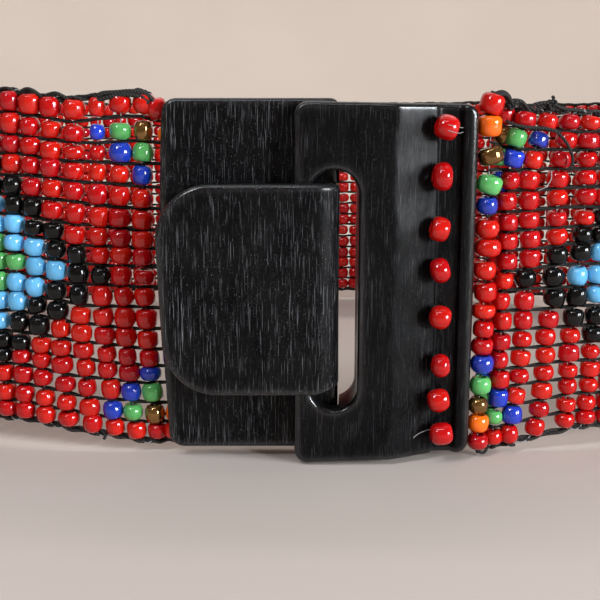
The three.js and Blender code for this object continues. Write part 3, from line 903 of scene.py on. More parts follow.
# Waves left by carving: depth, and the lengths over which they turn by one radian
HOOK_WAVES = dict(depth=0.06 * MM, across=5.3 * MM, up=9.7 * MM, start=1.1)
SLOT_PLATE_WAVES = dict(depth=0.05 * MM, across=6.1 * MM, up=11.3 * MM, start=0.7)
# How the ridge's line wavers, and how near the groove that fades
RIDGE_WAVER = table("height length start", (0.22 * MM, 4.3 * MM, 0), (0.12 * MM, 1.7 * MM, 2))
RIDGE_WAVER_FADE = 3 * MM
# Widths over which a step in the wood takes place
SEAT_STEP = 0.4 * MM
GROOVE_STEP = 0.5 * MM
RIB_STEP = 0.7 * MM
BACK_STEP = 0.5 * MM
# How far left of the ridge the slope fades in, in ridge radii, and how far the rib's edges lie below it
RIDGE_REACH = 2.5
RIB_HOLLOW = 0.45 * MM
# Thread holes in the groove
DRILL_DEPTH = 1.2 * MM
DRILL_RADIUS = 0.8 * MM


def rounded_outline(corners, count):
    """Evenly spaced points of a closed outline and the directions out of it.

    Corners (x, z, radius) run anticlockwise. Each is replaced by an arc that touches its two sides:
    centre + radius (cos turn from the side's outward direction), and the whole is spaced by length.
    """
    places = np.array([[c["x"], c["z"]] for c in corners])
    radii = np.array([c["radius"] for c in corners])
    ahead = unit(np.roll(places, -1, axis=0) - places)
    behind = np.roll(ahead, 1, axis=0)
    turn = np.arccos(np.clip((ahead * behind).sum(axis=1), -1, 1))
    reach = radii * np.tan(turn / 2)
    out = np.stack([behind[:, 1], -behind[:, 0]], axis=1)
    start = places - behind * reach[:, None]
    share = np.linspace(0, 1, ARC_POINTS)[None, :] * turn[:, None]
    normal = np.cos(share)[..., None] * out[:, None] + np.sin(share)[..., None] * behind[:, None]
    points = (start - out * radii[:, None])[:, None] + radii[:, None, None] * normal
    points, normal = points.reshape(-1, 2), normal.reshape(-1, 2)
    points = np.concatenate([points, points[:1]])
    normal = np.concatenate([normal, normal[:1]])
    run = np.concatenate([[0], np.cumsum(np.linalg.norm(np.diff(points, axis=0), axis=1) + 1e-12)])
    at = np.linspace(0, run[-1], count, endpoint=False)
    spaced = np.stack([np.interp(at, run, points[:, i]) for i in (0, 1)], axis=1)
    facing = unit(np.stack([np.interp(at, run, normal[:, i]) for i in (0, 1)], axis=1))
    return spaced, facing


def quarter(steps):
    """Sine and one minus cosine over a quarter turn, for rounded edges."""
    angle = np.linspace(0, math.pi / 2, steps)
    return np.sin(angle), 1 - np.cos(angle)


def plate_rings(outline, facing, inner, radius, inner_radius, front, back, front_steps, back_steps):
    """Rings of a plate from its inner line over the front, round the edge and back behind.

    Between the inner line S and the outline O a ring is S + m (O - S), with its depth read from the
    front's or the back's own curve. Edges are quarter circles: inset r (1 - sin), depth r (1 - cos).
    """
    rim = outline - facing * radius
    across = unit(outline - inner)
    inner_rim = inner + across * inner_radius
    sine, fall = quarter(EDGE_STEPS)
    flat = np.linspace(0, 1, front_steps)[:, None, None]
    # Each ring also gets a mask of rubbed edges, which later also paints a highlight along them
    rows, depths, wear_and_highlight = [], [], []

    def add(places, depth, worn_and_highlit):
        rows.append(places)
        depths.append(depth)
        wear_and_highlight.append(np.broadcast_to(worn_and_highlit, depth.shape))

    places = inner_rim + flat * (rim - inner_rim)
    edge = np.minimum(
        np.linalg.norm(places - rim, axis=-1), np.linalg.norm(places - inner_rim, axis=-1) + (
            0 if inner_radius > 0 else 1))
    add(places, front(places), np.exp(-edge / WEAR_AND_HIGHLIGHT_REACH))
    places = outline - facing * radius * (1 - sine[1:, None, None])
    add(places, front(places) + radius * fall[1:, None], 1.0)
    wall = np.linspace(0, 1, WALL_STEPS + 2)[1:-1, None]
    places = np.repeat(outline[None], WALL_STEPS, axis=0)
    high, low = front(places) + radius, back(places) - radius
    add(places, high + (low - high) * wall, 0.0)
    places = outline - facing * radius * (1 - sine[::-1][:, None, None])
    add(places, back(places) - radius * fall[::-1][:, None], 1.0)
    places = inner_rim + (1 - np.linspace(0, 1, back_steps)[1:, None, None]) * (rim - inner_rim)
    add(places, back(places), 0.0)
    if inner_radius > 0:
        places = inner + across * inner_radius * (1 - sine[1:, None, None])
        add(places, back(places) - inner_radius * fall[1:, None], SLOT_BACK_WEAR_AND_HIGHLIGHT)
        places = np.repeat(inner[None], WALL_STEPS, axis=0)
        low, high = front(places) + inner_radius, back(places) - inner_radius
        add(places, high + (low - high) * wall, 0.0)
        places = inner + across * inner_radius * (1 - sine[::-1][:-1, None, None])
        add(places, front(places) + inner_radius * fall[::-1][:-1, None], 1.0)
    return np.concatenate(rows), np.concatenate(depths), np.concatenate(wear_and_highlight)


def zipped(count, first):
    """Closes a narrow ring by joining each point to the one across from it."""
    near = np.arange(1, count // 2 - 1)
    far = count - near
    quads = np.stack([near, near + 1, far - 1, far], axis=1) + first
    middle = count // 2
    ends = np.array([[0, 1, count - 1], [middle - 1, middle, middle + 1]]) + first
    return quads, ends


def closed_rings(rings, count):
    """Faces of a stack of rings, with its first and last ring zipped shut."""
    first_quads, first_ends = zipped(count, 0)
    last_quads, last_ends = zipped(count, (rings - 1) * count)
    sides = grid_quads(rings, count, wrap_columns=True)
    return [
        np.concatenate([sides, first_quads[:, ::-1], last_quads]),
        np.concatenate([first_ends[:, ::-1], last_ends]),
    ]


def started_below(outline, facing, middle):
    """The outline begun at its lowest stretch under the middle."""
    below = np.where(outline[:, 1] < outline[:, 1].mean(), np.abs(outline[:, 0] - middle), np.inf)
    first = int(np.argmin(below))
    return np.roll(outline, -first, axis=0), np.roll(facing, -first, axis=0)


def hook_base(buckle):
    """The plate behind: flat front, wavering a little as carved, its back stepped for the band's end."""
    front_plane = BACK_PLANE - buckle.hook_thickness
    half = (HOOK_HIGH.z - HOOK_LOW.z) / 2
    outline, facing = rounded_outline([
        dict(x=HOOK_LOW.x + buckle.hook_bulge, z=-half, radius=buckle.hook_corner),
        dict(x=HOOK_HIGH.x, z=-half, radius=2 * buckle.edge_round),
        dict(x=HOOK_HIGH.x, z=half, radius=2 * buckle.edge_round),
        dict(x=HOOK_LOW.x + buckle.hook_bulge, z=half, radius=buckle.hook_corner),
        dict(x=HOOK_LOW.x, z=0.0, radius=HOOK_EDGE_BEND * half),
    ], HOOK_POINTS)
    middle = (HOOK_LOW.x + HOOK_HIGH.x) / 2
    outline, facing = started_below(outline, facing, middle)
    inner = np.stack([
        middle + LINE_SHARE * (outline[:, 0] - middle),
        np.clip(outline[:, 1], -half + HOOK_LINE_INSET, half - HOOK_LINE_INSET)], axis=1)
    seat_plane = LEFT_LOW.y - buckle.clearance
    seat_edge = HOOK_LOW.x + buckle.band_seat + buckle.seat_room

    def front(places):
        across = np.sin(places[..., 0] / HOOK_WAVES["across"])
        up = np.sin(places[..., 1] / HOOK_WAVES["up"] + HOOK_WAVES["start"])
        return front_plane + HOOK_WAVES["depth"] * across * up

    def back(places):
        seat = 1 - soft_step((places[..., 0] - seat_edge) / SEAT_STEP + 0.5)
        return BACK_PLANE + (seat_plane - BACK_PLANE) * seat

    return plate_surface(
        outline, facing, inner, buckle.edge_round, front, back,
        front_steps=46, back_steps=40)


def plate_surface(outline, facing, inner, radius, front, back, front_steps, back_steps):
    """A plate without an opening: its rings as points, their faces, and how rubbed each point is, a mask
    that also paints a highlight along the edges.
    """
    places, depth, wear_and_highlight = plate_rings(
        outline, facing, inner, radius, 0.0, front, back, front_steps, back_steps)
    rings, count = depth.shape
    points = np.stack([places[..., 0], depth, places[..., 1]], axis=-1).reshape(-1, 3)
    return points, closed_rings(rings, count), wear_and_highlight.ravel()


def hook_bend(buckle):
    """The tongue, its roll and the web, as one slab bent round.

    Along the bend a, the outer face F(a) runs straight, turns a quarter circle and runs straight into
    the plate, and the inner face B(a) runs square inside it. A point is F + w (B - F), where w goes
    from 0 to 1 through the thickness.
    """
    front_plane = SLOT_FRONT - buckle.clearance - buckle.tongue_thickness
    right = HOOK_HIGH.x
    left = right - buckle.tongue_length
    rooted = BACK_PLANE - ROOT_SHARE * buckle.hook_thickness
    roll = buckle.tongue_roll
    flat = right - roll - left
    quarter_run = roll * math.pi / 2
    deep = rooted - front_plane - roll
    whole = flat + quarter_run + deep
    drop = (SLOT_LOW.z + SLOT_HIGH.z) / 2
    half = buckle.tongue_height / 2
    soft = 2 * buckle.edge_round
    outline, facing = rounded_outline([
        dict(x=buckle.tongue_slant, z=-half, radius=buckle.tongue_corner),
        dict(x=flat, z=-half, radius=roll),
        dict(x=flat + quarter_run, z=-half + buckle.tongue_taper, radius=soft),
        dict(x=whole, z=-half + buckle.tongue_taper, radius=soft),
        dict(x=whole, z=half, radius=soft),
        dict(x=0.0, z=half, radius=buckle.tongue_corner),
    ], TONGUE_POINTS)
    middle = flat * TONGUE_LINE_PLACE
    outline, facing = started_below(outline, facing, middle)
    inner = np.stack([
        middle + LINE_SHARE * (outline[:, 0] - middle),
        np.clip(outline[:, 1], -half + TONGUE_LINE_INSET, half - TONGUE_LINE_INSET)], axis=1)
    thickness = buckle.tongue_thickness

    def bent(places, w):
        a = places[..., 0]
        turn = np.clip((a - flat) / quarter_run, 0, 1) * math.pi / 2
        past = np.clip(a - flat - quarter_run, 0, None)
        outer_x = left + np.clip(a, None, flat) + roll * np.sin(turn)
        outer_y = front_plane + roll * (1 - np.cos(turn)) + past
        web = right - buckle.web_thickness
        inner_turn = soft_step((a - flat) / quarter_run)
        inner_x = left + np.clip(a, None, flat) / flat * (web - left)
        inner_y = front_plane + thickness + inner_turn * (roll - thickness) + past
        return np.stack([
            outer_x + w * (inner_x - outer_x),
            outer_y + w * (inner_y - outer_y),
            places[..., 1] + drop,
        ], axis=-1)

    places, share, wear_and_highlight = plate_rings(
        outline, facing, inner, buckle.edge_round, 0.0,
        lambda p: np.zeros(p.shape[:-1]), lambda p: np.full(p.shape[:-1], thickness),
        front_steps=60, back_steps=24)
    across = np.cos(places[..., 1] / half * TONGUE_HOLLOW_TURN)
    hollow = TONGUE_HOLLOW * across * np.clip(1 - share / thickness, 0, 1)
    points = bent(places, (share + hollow) / thickness).reshape(-1, 3)
    rings, count = share.shape
    return points, closed_rings(rings, count), wear_and_highlight.ravel()


def slot_plate_surface(buckle):
    """The plate in front: a slot near its left edge, a ridge, a slope, a groove for beads and a rib.

    Rings go from the slot's stadium to the outline, over the front and back again behind.
    """
    low, high = SLOT_LOW.z, SLOT_HIGH.z
    left, right = SLOT_LOW.x, SLOT_HIGH.x
    outline, facing = rounded_outline([
        dict(x=left, z=low, radius=buckle.plate_corner),
        dict(x=right, z=low + buckle.plate_taper, radius=buckle.plate_corner),
        dict(x=right, z=high - buckle.plate_taper / 2, radius=buckle.plate_corner),
        dict(x=left, z=high, radius=buckle.plate_corner),
    ], SLOT_PLATE_POINTS)
    slot_radius = buckle.slot_width / 2
    slot_x = left + buckle.bar_width + slot_radius
    slot_z = (low + high) / 2 - buckle.slot_below_middle
    run = buckle.slot_height / 2 - slot_radius
    spine = np.stack([
        np.full(len(outline), slot_x),
        slot_z + np.clip(outline[:, 1] - slot_z, -run, run)], axis=1)
    inner = spine + slot_radius * unit(outline - spine)
    groove_right = right - buckle.rib_width
    groove_left = groove_right - buckle.groove_width
    ridge = groove_left - buckle.slope_width
    drills = [((b[0].x + b[1].x) / 2, (b[0].z + b[1].z) / 2) for b in ANCHOR_BOXES]
    step_edge = HOOK_HIGH.x + buckle.clearance
    bar_back = SLOT_FRONT + buckle.bar_thickness

    def pits(places):
        deep = np.zeros(places.shape[:-1])
        for x, z in drills:
            away = np.hypot(places[..., 0] - x, places[..., 1] - z)
            deep += DRILL_DEPTH * (1 - soft_step(away / DRILL_RADIUS))
        return deep

    def front(places):
        x, z = places[..., 0], places[..., 1]
        wavering = sum(w["height"] * np.sin(z / w["length"] + w["start"]) for w in RIDGE_WAVER)
        u = np.clip(x, None, groove_left) - ridge
        u = u - wavering * soft_step((groove_left - x) / RIDGE_WAVER_FADE)
        bend = buckle.ridge_round
        ramp = 0.5 * (u + np.sqrt(u * u + 0.25 * bend * bend))
        depth = buckle.slope_drop * ramp / buckle.slope_width
        depth *= soft_step((x - ridge + RIDGE_REACH * bend) / (RIDGE_REACH * bend))
        depth += (buckle.groove_drop - buckle.slope_drop) * soft_step((x - groove_left) / GROOVE_STEP + 0.5)
        depth -= (buckle.groove_drop - buckle.rib_drop) * soft_step((x - groove_right) / RIB_STEP + 0.2)
        rib = np.clip((x - groove_right) / buckle.rib_width, 0, 1)
        depth += RIB_HOLLOW * (2 * rib - 1) ** 2 * (rib > 0)
        across = np.sin(x / SLOT_PLATE_WAVES["across"] + SLOT_PLATE_WAVES["start"])
        wave = SLOT_PLATE_WAVES["depth"] * across * np.sin(z / SLOT_PLATE_WAVES["up"])
        return SLOT_FRONT + depth + wave + pits(places)

    def back(places):
        shallow = 1 - soft_step((places[..., 0] - step_edge) / BACK_STEP + 0.5)
        return BACK_PLANE + (bar_back - BACK_PLANE) * shallow

    places, depth, wear_and_highlight = plate_rings(
        outline, facing, inner, buckle.edge_round, buckle.slot_rim, front, back,
        front_steps=100, back_steps=40)
    points = np.stack([places[..., 0], depth, places[..., 1]], axis=-1).reshape(-1, 3)
    rings, count = depth.shape
    return points, [grid_quads(rings, count, wrap_rows=True, wrap_columns=True)], wear_and_highlight.ravel()


# Materials
def feed(tree, socket, value):
    """Gives an input a linked socket or a plain value."""
    if isinstance(value, bpy.types.NodeSocket):
        tree.links.new(value, socket)
    else:
        socket.default_value = value


def add_node(tree, kind, inputs=None, **settings):
    """A node with its settings, whose inputs are either linked sockets or plain values."""
    node = tree.nodes.new(kind)
    for key, value in settings.items():
        setattr(node, key, value)
    for key, value in (inputs or {}).items():
        feed(tree, node.inputs[key], value)
    return node


def arithmetic(tree, operation, first, second=0.0, third=0.0, clamp=False):
    """One step of arithmetic on up to three values."""
    return add_node(
        tree, "ShaderNodeMath", {0: first, 1: second, 2: third},
        operation=operation, use_clamp=clamp).outputs[0]


def blend_colour(tree, share, first, second):
    """The first colour where the share is zero, the second where it is one."""
    node = add_node(tree, "ShaderNodeMix", data_type="RGBA")
    for key, value in (("Factor_Float", share), ("A_Color", first), ("B_Color", second)):
        feed(tree, next(s for s in node.inputs if s.identifier == key), value)
    return next(s for s in node.outputs if s.identifier == "Result_Color")


def toned(tree, colour, value, hue=0.5):
    """A colour times a value. A hue of a half leaves it as it is, and one beside that turns it."""
    return add_node(tree, "ShaderNodeHueSaturation", {
        "Hue": hue, "Saturation": 1.0, "Value": value, "Color": colour}).outputs[0]


def grain_noise(tree, scale, detail=3.0, roughness=0.55, distortion=0.0):
    """Noise on Object coordinates, stretched by a scale for each axis, from zero to one."""
    where = add_node(tree, "ShaderNodeTexCoord").outputs["Object"]
    stretched = add_node(tree, "ShaderNodeMapping", {"Vector": where, "Scale": scale}).outputs[0]
    return add_node(tree, "ShaderNodeTexNoise", {
        "Vector": stretched, "Scale": 1.0, "Detail": detail, "Roughness": roughness,
        "Distortion": distortion}).outputs["Fac"]


def ranged(tree, value, from_low, from_high, to_low=0.0, to_high=1.0):
    """A value brought from one range to another, and held inside it."""
    return add_node(tree, "ShaderNodeMapRange", {
        "Value": value, "From Min": from_low, "From Max": from_high,
        "To Min": to_low, "To Max": to_high}, clamp=True).outputs["Result"]


def bumped(tree, height, distance, strength=1.0):
    """The normal of a surface raised by a height times a distance."""
    return add_node(tree, "ShaderNodeBump", {
        "Height": height, "Distance": distance, "Strength": strength}).outputs["Normal"]


SOCKET_KINDS = dict(colour="NodeSocketColor", value="NodeSocketFloat", normal="NodeSocketVector")
SURFACE = dict(Colour="colour", Roughness="value", Normal="normal")
SURFACE_INPUTS = dict(Colour="Base Color", Roughness="Roughness", Normal="Normal")


def new_group(name, inputs):
    """A shader node group with named inputs that puts out a surface. Returns it and its inputs."""
    group = bpy.data.node_groups.new(name, "ShaderNodeTree")
    for way, sockets in (("INPUT", inputs), ("OUTPUT", SURFACE)):
        for key, kind in sockets.items():
            group.interface.new_socket(name=key, in_out=way, socket_type=SOCKET_KINDS[kind])
    return group, group.nodes.new("NodeGroupInput").outputs


def put_out(group, colour, roughness, normal):
    """Links the surface that a group puts out, and returns the group."""
    result = group.nodes.new("NodeGroupOutput").inputs
    for key, value in zip(SURFACE, (colour, roughness, normal)):
        group.links.new(value, result[key])
    return group


def build_bead_glass(name):
    """Glass of one colour, each bead from its own batch: lighter or darker, glossier or duller."""
    group, given = new_group(name, dict(Colour="colour", Spread="value", Tone="value", Gloss="value"))
    cloud = grain_noise(group, (420, 420, 420), 2.0)
    ripple = grain_noise(group, (900, 900, 650), 2.0)
    away = arithmetic(group, "SUBTRACT", given["Tone"], 0.5)
    value = arithmetic(group, "MULTIPLY_ADD", away, given["Spread"], 1.0)
    value = arithmetic(group, "MULTIPLY", value, ranged(group, cloud, 0.3, 0.7, 0.86, 1.1))
    hue = arithmetic(group, "MULTIPLY_ADD", away, 0.004, 0.5)
    gloss = arithmetic(group, "MULTIPLY_ADD", given["Gloss"], 0.07, 0.04)
    gloss = arithmetic(group, "MULTIPLY_ADD", ripple, 0.04, gloss)
    colour = toned(group, given["Colour"], value, hue)
    return put_out(group, colour, gloss, bumped(group, ripple, 0.10 * MM, 0.5))


# Blotches of the wood, which its roughness and its specular level share
BLOTCH = dict(scale=(150, 150, 90), detail=4.0, roughness=0.65)
BLOTCH_RANGE = (0.32, 0.68)


def build_wood_grain(name):
    """Dark wood: fine pale pores up the grain, specks of dust, broad bands, and polished edges lightened in
    colour, partly by real rubbing and partly as a painted highlight.
    """
    group, given = new_group(name, dict(Wood="colour", Fleck="colour", Flecks="value", Wear_and_highlight="value"))
    pore = grain_noise(group, (8200, 8200, 170), 2.0, 0.6)
    pore_mask = ranged(group, pore, 0.60, 0.68)
    speck_mask = ranged(group, grain_noise(group, (5000, 5000, 3600), 1.0), 0.69, 0.74)
    patch_mask = ranged(group, grain_noise(group, (210, 210, 70), 3.0), 0.30, 0.65, 0.35, 0.85)
    fibre = grain_noise(group, (2600, 2600, 60), 3.0, 0.7)
    band = grain_noise(group, (330, 330, 14), 4.0, 0.6, 0.4)
    polish = grain_noise(group, (240, 240, 240), 3.0)
    flecks = arithmetic(group, "MULTIPLY", pore_mask, patch_mask)
    flecks = arithmetic(group, "MULTIPLY_ADD", speck_mask, 0.7, flecks)
    flecks = arithmetic(group, "MULTIPLY", flecks, given["Flecks"])
    shade = arithmetic(group, "ADD", ranged(group, band, 0.25, 0.75, 0.3, 1.1), fibre)
    # Edges lighter towards the fleck colour: partly real rubbing, partly a painted highlight along the
    # edges
    worn_and_highlit = arithmetic(group, "MULTIPLY", given["Wear_and_highlight"], ranged(group, polish, 0.35, 0.7, 0.0, 0.05))
    share = arithmetic(group, "ADD", flecks, worn_and_highlit, clamp=True)
    colour = blend_colour(group, share, toned(group, given["Wood"], shade), given["Fleck"])
    rough = ranged(group, grain_noise(group, **BLOTCH), *BLOTCH_RANGE, 0.24, 0.46)
    rough = arithmetic(group, "MULTIPLY_ADD", given["Wear_and_highlight"], -0.17, rough)
    rough = arithmetic(group, "MULTIPLY_ADD", pore_mask, 0.15, rough)
    height = arithmetic(group, "MULTIPLY_ADD", pore, -0.5, band)
    height = arithmetic(group, "MULTIPLY_ADD", fibre, 0.5, height)
    height = arithmetic(group, "MULTIPLY_ADD", polish, 0.8, height)
    return put_out(group, colour, rough, bumped(group, height, 0.06 * MM, 0.5))


def build_twist(name):
    """Two plies twisted together along the piece's own UV, with loose fibres.

    With u round the cord and v along it in twists, the height is the size of sin(2 pi (u + v)).
    """
    group, given = new_group(name, dict(Cord="colour", Fibre="colour", Depth="value"))
    uv = add_node(group, "ShaderNodeUVMap", uv_map="along").outputs[0]
    split = add_node(group, "ShaderNodeSeparateXYZ", {0: uv})
    phase = arithmetic(group, "ADD", split.outputs[0], split.outputs[1])
    wave = arithmetic(group, "SINE", arithmetic(group, "MULTIPLY", phase, 2 * math.pi))
    ply = arithmetic(group, "ABSOLUTE", wave)
    fibre = grain_noise(group, (3200, 3200, 5200), 3.0, 0.7)
    dust = ranged(group, grain_noise(group, (900, 900, 900), 2.0), 0.5, 0.8)
    share = arithmetic(group, "MULTIPLY", ranged(group, fibre, 0.5, 0.75), 0.6)
    share = arithmetic(group, "MULTIPLY_ADD", dust, 0.25, share)
    share = arithmetic(group, "MULTIPLY", share, ply, clamp=True)
    colour = blend_colour(group, share, given["Cord"], given["Fibre"])
    height = arithmetic(group, "MULTIPLY_ADD", fibre, 0.35, ply)
    return put_out(
        group, colour, ranged(group, fibre, 0.3, 0.7, 0.55, 0.8), bumped(group, height, given["Depth"]))


def build_floor_tone(name):
    """A pale floor, a little cloudy."""
    group, given = new_group(name, dict(Floor="colour"))
    cloud = grain_noise(group, (6, 6, 6), 2.0)
    colour = toned(group, given["Floor"], ranged(group, cloud, 0.3, 0.7, 0.98, 1.02))
    return put_out(
        group, colour, ranged(group, cloud, 0.3, 0.7, 0.88, 0.95), bumped(group, cloud, 0.1 * MM, 0.1))


GROUPS = {
    "Bead glass": build_bead_glass,
    "Wood grain": build_wood_grain,
    "Cord twist": build_twist,
    "Floor tone": build_floor_tone,
}


def point_attribute(tree, name):
    return add_node(tree, "ShaderNodeAttribute", attribute_name=name).outputs["Fac"]


def worked_out(tree, value):
    """A value as it is, the point attribute that a word names, or what a function makes in the tree."""
    if isinstance(value, str):
        return point_attribute(tree, value)
    return value(tree) if callable(value) else value


def surface_material(name, group, given, shader_inputs):
    """The material of this name, made once: a group with its inputs, and the shader's own inputs."""
    found = bpy.data.materials.get(name)
    if found:
        return found
    material = bpy.data.materials.new(name)
    material.use_nodes = True
    tree = material.node_tree
    shader = tree.nodes["Principled BSDF"]
    placed = bpy.data.node_groups.get(group) or GROUPS[group](group)
    given = {key: worked_out(tree, value) for key, value in given.items()}
    node = add_node(tree, "ShaderNodeGroup", given, node_tree=placed)
    for key, socket in SURFACE_INPUTS.items():
        tree.links.new(node.outputs[key], shader.inputs[socket])
    for key, value in shader_inputs.items():
        feed(tree, shader.inputs[key], worked_out(tree, value))
    return material


def opaque(colour):
    return (*colour, 1.0)


GLASS_FINISH = {
    "red": dict(spread=0.36, specular=0.4, coat=0.25),
    "orange": dict(spread=0.30, specular=0.5, coat=0.35),
    "bronze": dict(spread=0.55, specular=0.6, coat=0.5, metallic=0.75),
    "green": dict(spread=0.35, specular=0.5, coat=0.35),
    "blue": dict(spread=0.55, specular=0.5, coat=0.4),
    "light_blue": dict(spread=0.30, specular=0.45, coat=0.3),
    "black": dict(spread=0.50, specular=0.25, coat=0.15),
}


def glass_material(name, colours):
    finish = GLASS_FINISH[name]
    return surface_material(f"{name} bead glass", "Bead glass", {
        "Colour": opaque(getattr(colours, name)),
        "Spread": finish["spread"],
        "Tone": "tone",
        "Gloss": "gloss",
    }, {
        "Metallic": finish.get("metallic", 0.0),
        "Specular IOR Level": finish["specular"],
        "Coat Weight": finish["coat"],
        "Coat Roughness": 0.04,
    })


def wood_shine(tree):
    """Specular level of the wood, which falls in its blotches and rises towards the rubbed edges."""
    level = ranged(tree, grain_noise(tree, **BLOTCH), *BLOTCH_RANGE, 0.17, 0.05)
    return arithmetic(tree, "MULTIPLY_ADD", point_attribute(tree, "wear_and_highlight"), 0.42, level)


def wood_material(name, colours, flecks):
    return surface_material(name, "Wood grain", {
        "Wood": opaque(colours.wood),
        "Fleck": opaque(colours.wood_fleck),
        "Flecks": flecks,
        "Wear_and_highlight": "wear_and_highlight",
    }, {"Specular IOR Level": wood_shine})


def cord_material(colours):
    return surface_material("Waxed cord", "Cord twist", {
        "Cord": opaque(colours.cord),
        "Fibre": opaque([min(1.0, 6 * c) for c in colours.cord]),
        "Depth": 0.12 * MM,
    }, {"Specular IOR Level": 0.35})


def thread_material(colours):
    return surface_material("Clear thread", "Cord twist", {
        "Cord": opaque(colours.thread),
        "Fibre": opaque([min(1.0, 1.3 * c) for c in colours.thread]),
        "Depth": 0.02 * MM,
    }, {"Specular IOR Level": 0.6, "Transmission Weight": 0.35})


def floor_material(colours):
    return surface_material(
        "Pale floor", "Floor tone", {"Floor": opaque(colours.floor)}, {"Specular IOR Level": 0.1})


# Making of each piece
def carved_piece(name, surface, material, replaced):
    """A piece of wood from its points, faces and rubbed edges, in place of a solid; the edge mask also
    paints a highlight.
    """
    points, blocks, wear_and_highlight = surface
    new_piece(name, points, outward_faces(points, blocks), material, [replaced], dict(wear_and_highlight=wear_and_highlight))


class BELT_OT_hook_plate(bpy.types.Operator):
    """Carves the plate behind with its tongue"""
    bl_idname = "belt.hook_plate"
    bl_label = "Hook plate"

    def execute(self, context):
        scene = context.scene
        material = wood_material("Dark wood with flecks", scene.belt_colours, 1.0)
        carved_piece("hook_plate_base", hook_base(scene.belt_buckle), material, "hook_plate")
        carved_piece("hook_plate_tongue", hook_bend(scene.belt_buckle), material, "hook_plate")
        return {"FINISHED"}


class BELT_OT_slot_plate(bpy.types.Operator):
    """Carves the plate in front with its slot, slope, groove and rib"""
    bl_idname = "belt.slot_plate"
    bl_label = "Slot plate"

    def execute(self, context):
        scene = context.scene
        material = wood_material("Dark satin wood", scene.belt_colours, 0.35)
        carved_piece("slot_plate_carved", slot_plate_surface(scene.belt_buckle), material, "slot_plate")
        return {"FINISHED"}


class BELT_OT_anchor_beads(bpy.types.Operator):
    """Places the eight beads in the groove, their holes across it"""
    bl_idname = "belt.anchor_beads"
    bl_label = "Anchor beads"

    def execute(self, context):
        scene = context.scene
        band = scene.belt_band
        rng = np.random.default_rng(band.seed + 40)
        low = np.array([tuple(box[0]) for box in ANCHOR_BOXES])
        high = np.array([tuple(box[1]) for box in ANCHOR_BOXES])
        count = len(ANCHOR_LOOKS)
        tilt = np.radians([row["tilt"] for row in ANCHOR_LOOKS])
        axes = np.stack([np.cos(tilt), np.zeros(count), -np.sin(tilt)], axis=1)
        widths = np.array([row["width"] for row in ANCHOR_LOOKS]) * MM
        lengths = np.array([row["length"] for row in ANCHOR_LOOKS]) * MM
        centres = (low + high) / 2
        centres[:, 0] += np.array([row["shift"] for row in ANCHOR_LOOKS]) * MM
        front = np.tile([0.0, -1.0, 0.0], (count, 1))
        points = bead_shapes(
            centres, axes, front, widths, lengths, band.bead_hole, rng, ANCHOR_PROFILE, ANCHOR_SIDES)
        each = len(ANCHOR_PROFILE) * ANCHOR_SIDES
        tone = np.repeat(rng.uniform(0.2, 0.8, count), each)
        new_piece(
            "anchor_beads_red", points, bead_faces(count, ANCHOR_PROFILE, ANCHOR_SIDES),
            glass_material("red", scene.belt_colours),
            ANCHOR_BEADS, dict(tone=tone, gloss=tone * 0.5))
        return {"FINISHED"}


class BELT_OT_band_beads(bpy.types.Operator):
    """Fills both halves of the band with beads, a piece for each colour"""
    bl_idname = "belt.band_beads"
    bl_label = "Band beads"

    def execute(self, context):
        scene = context.scene
        band = scene.belt_band
        for side, word in SIDES:
            beads, rng = band_beads(side, band, scene.belt_buckle)
            for index, name in enumerate(GLASS):
                replaced = [f"band_{word}"]
                if side > 0:
                    replaced += [
                        END_BEADS[row] for row in range(ROWS) if chart_colour(1, row) == index]
                bead_piece(
                    f"band_{word}_{name}", beads, beads[-1] == index, band, rng,
                    glass_material(name, scene.belt_colours), replaced)
        return {"FINISHED"}


class BELT_OT_cords(bpy.types.Operator):
    """Twines the cords between the rows and along both edges"""
    bl_idname = "belt.cords"
    bl_label = "Cords"

    def execute(self, context):
        scene = context.scene
        band = scene.belt_band
        material = cord_material(scene.belt_colours)
        for side, word in SIDES:
            layout = BandLayout(side, band, scene.belt_buckle)
            for name, paths, diameter, sides in (
                    ("row_cords", row_cord_paths(layout), band.cord_diameter, CORD_SIDES),
                    ("edge_cords", edge_cord_paths(layout), band.edge_cord_diameter, EDGE_SIDES)):
                points, blocks, uv = tubes(paths, diameter / 2, sides, UP, CORD_TWIST * diameter)
                new_piece(f"{name}_{word}", points, blocks, material, uv=uv)
        return {"FINISHED"}


class BELT_OT_threads(bpy.types.Operator):
    """Runs the clear thread through the columns and round the edges"""
    bl_idname = "belt.threads"
    bl_label = "Threads"

    def execute(self, context):
        scene = context.scene
        band = scene.belt_band
        material = thread_material(scene.belt_colours)
        radius = band.thread_diameter / 2
        for side, word in SIDES:
            layout = BandLayout(side, band, scene.belt_buckle)
            points, blocks, uv = joined([
                tubes(column_thread_paths(layout), radius, THREAD_SIDES, NEARLY_FORWARD),
                tubes(edge_thread_paths(layout), radius, EDGE_THREAD_SIDES, NEARLY_FORWARD),
            ])
            new_piece(f"threads_{word}", points, blocks, material, uv=uv)
        return {"FINISHED"}


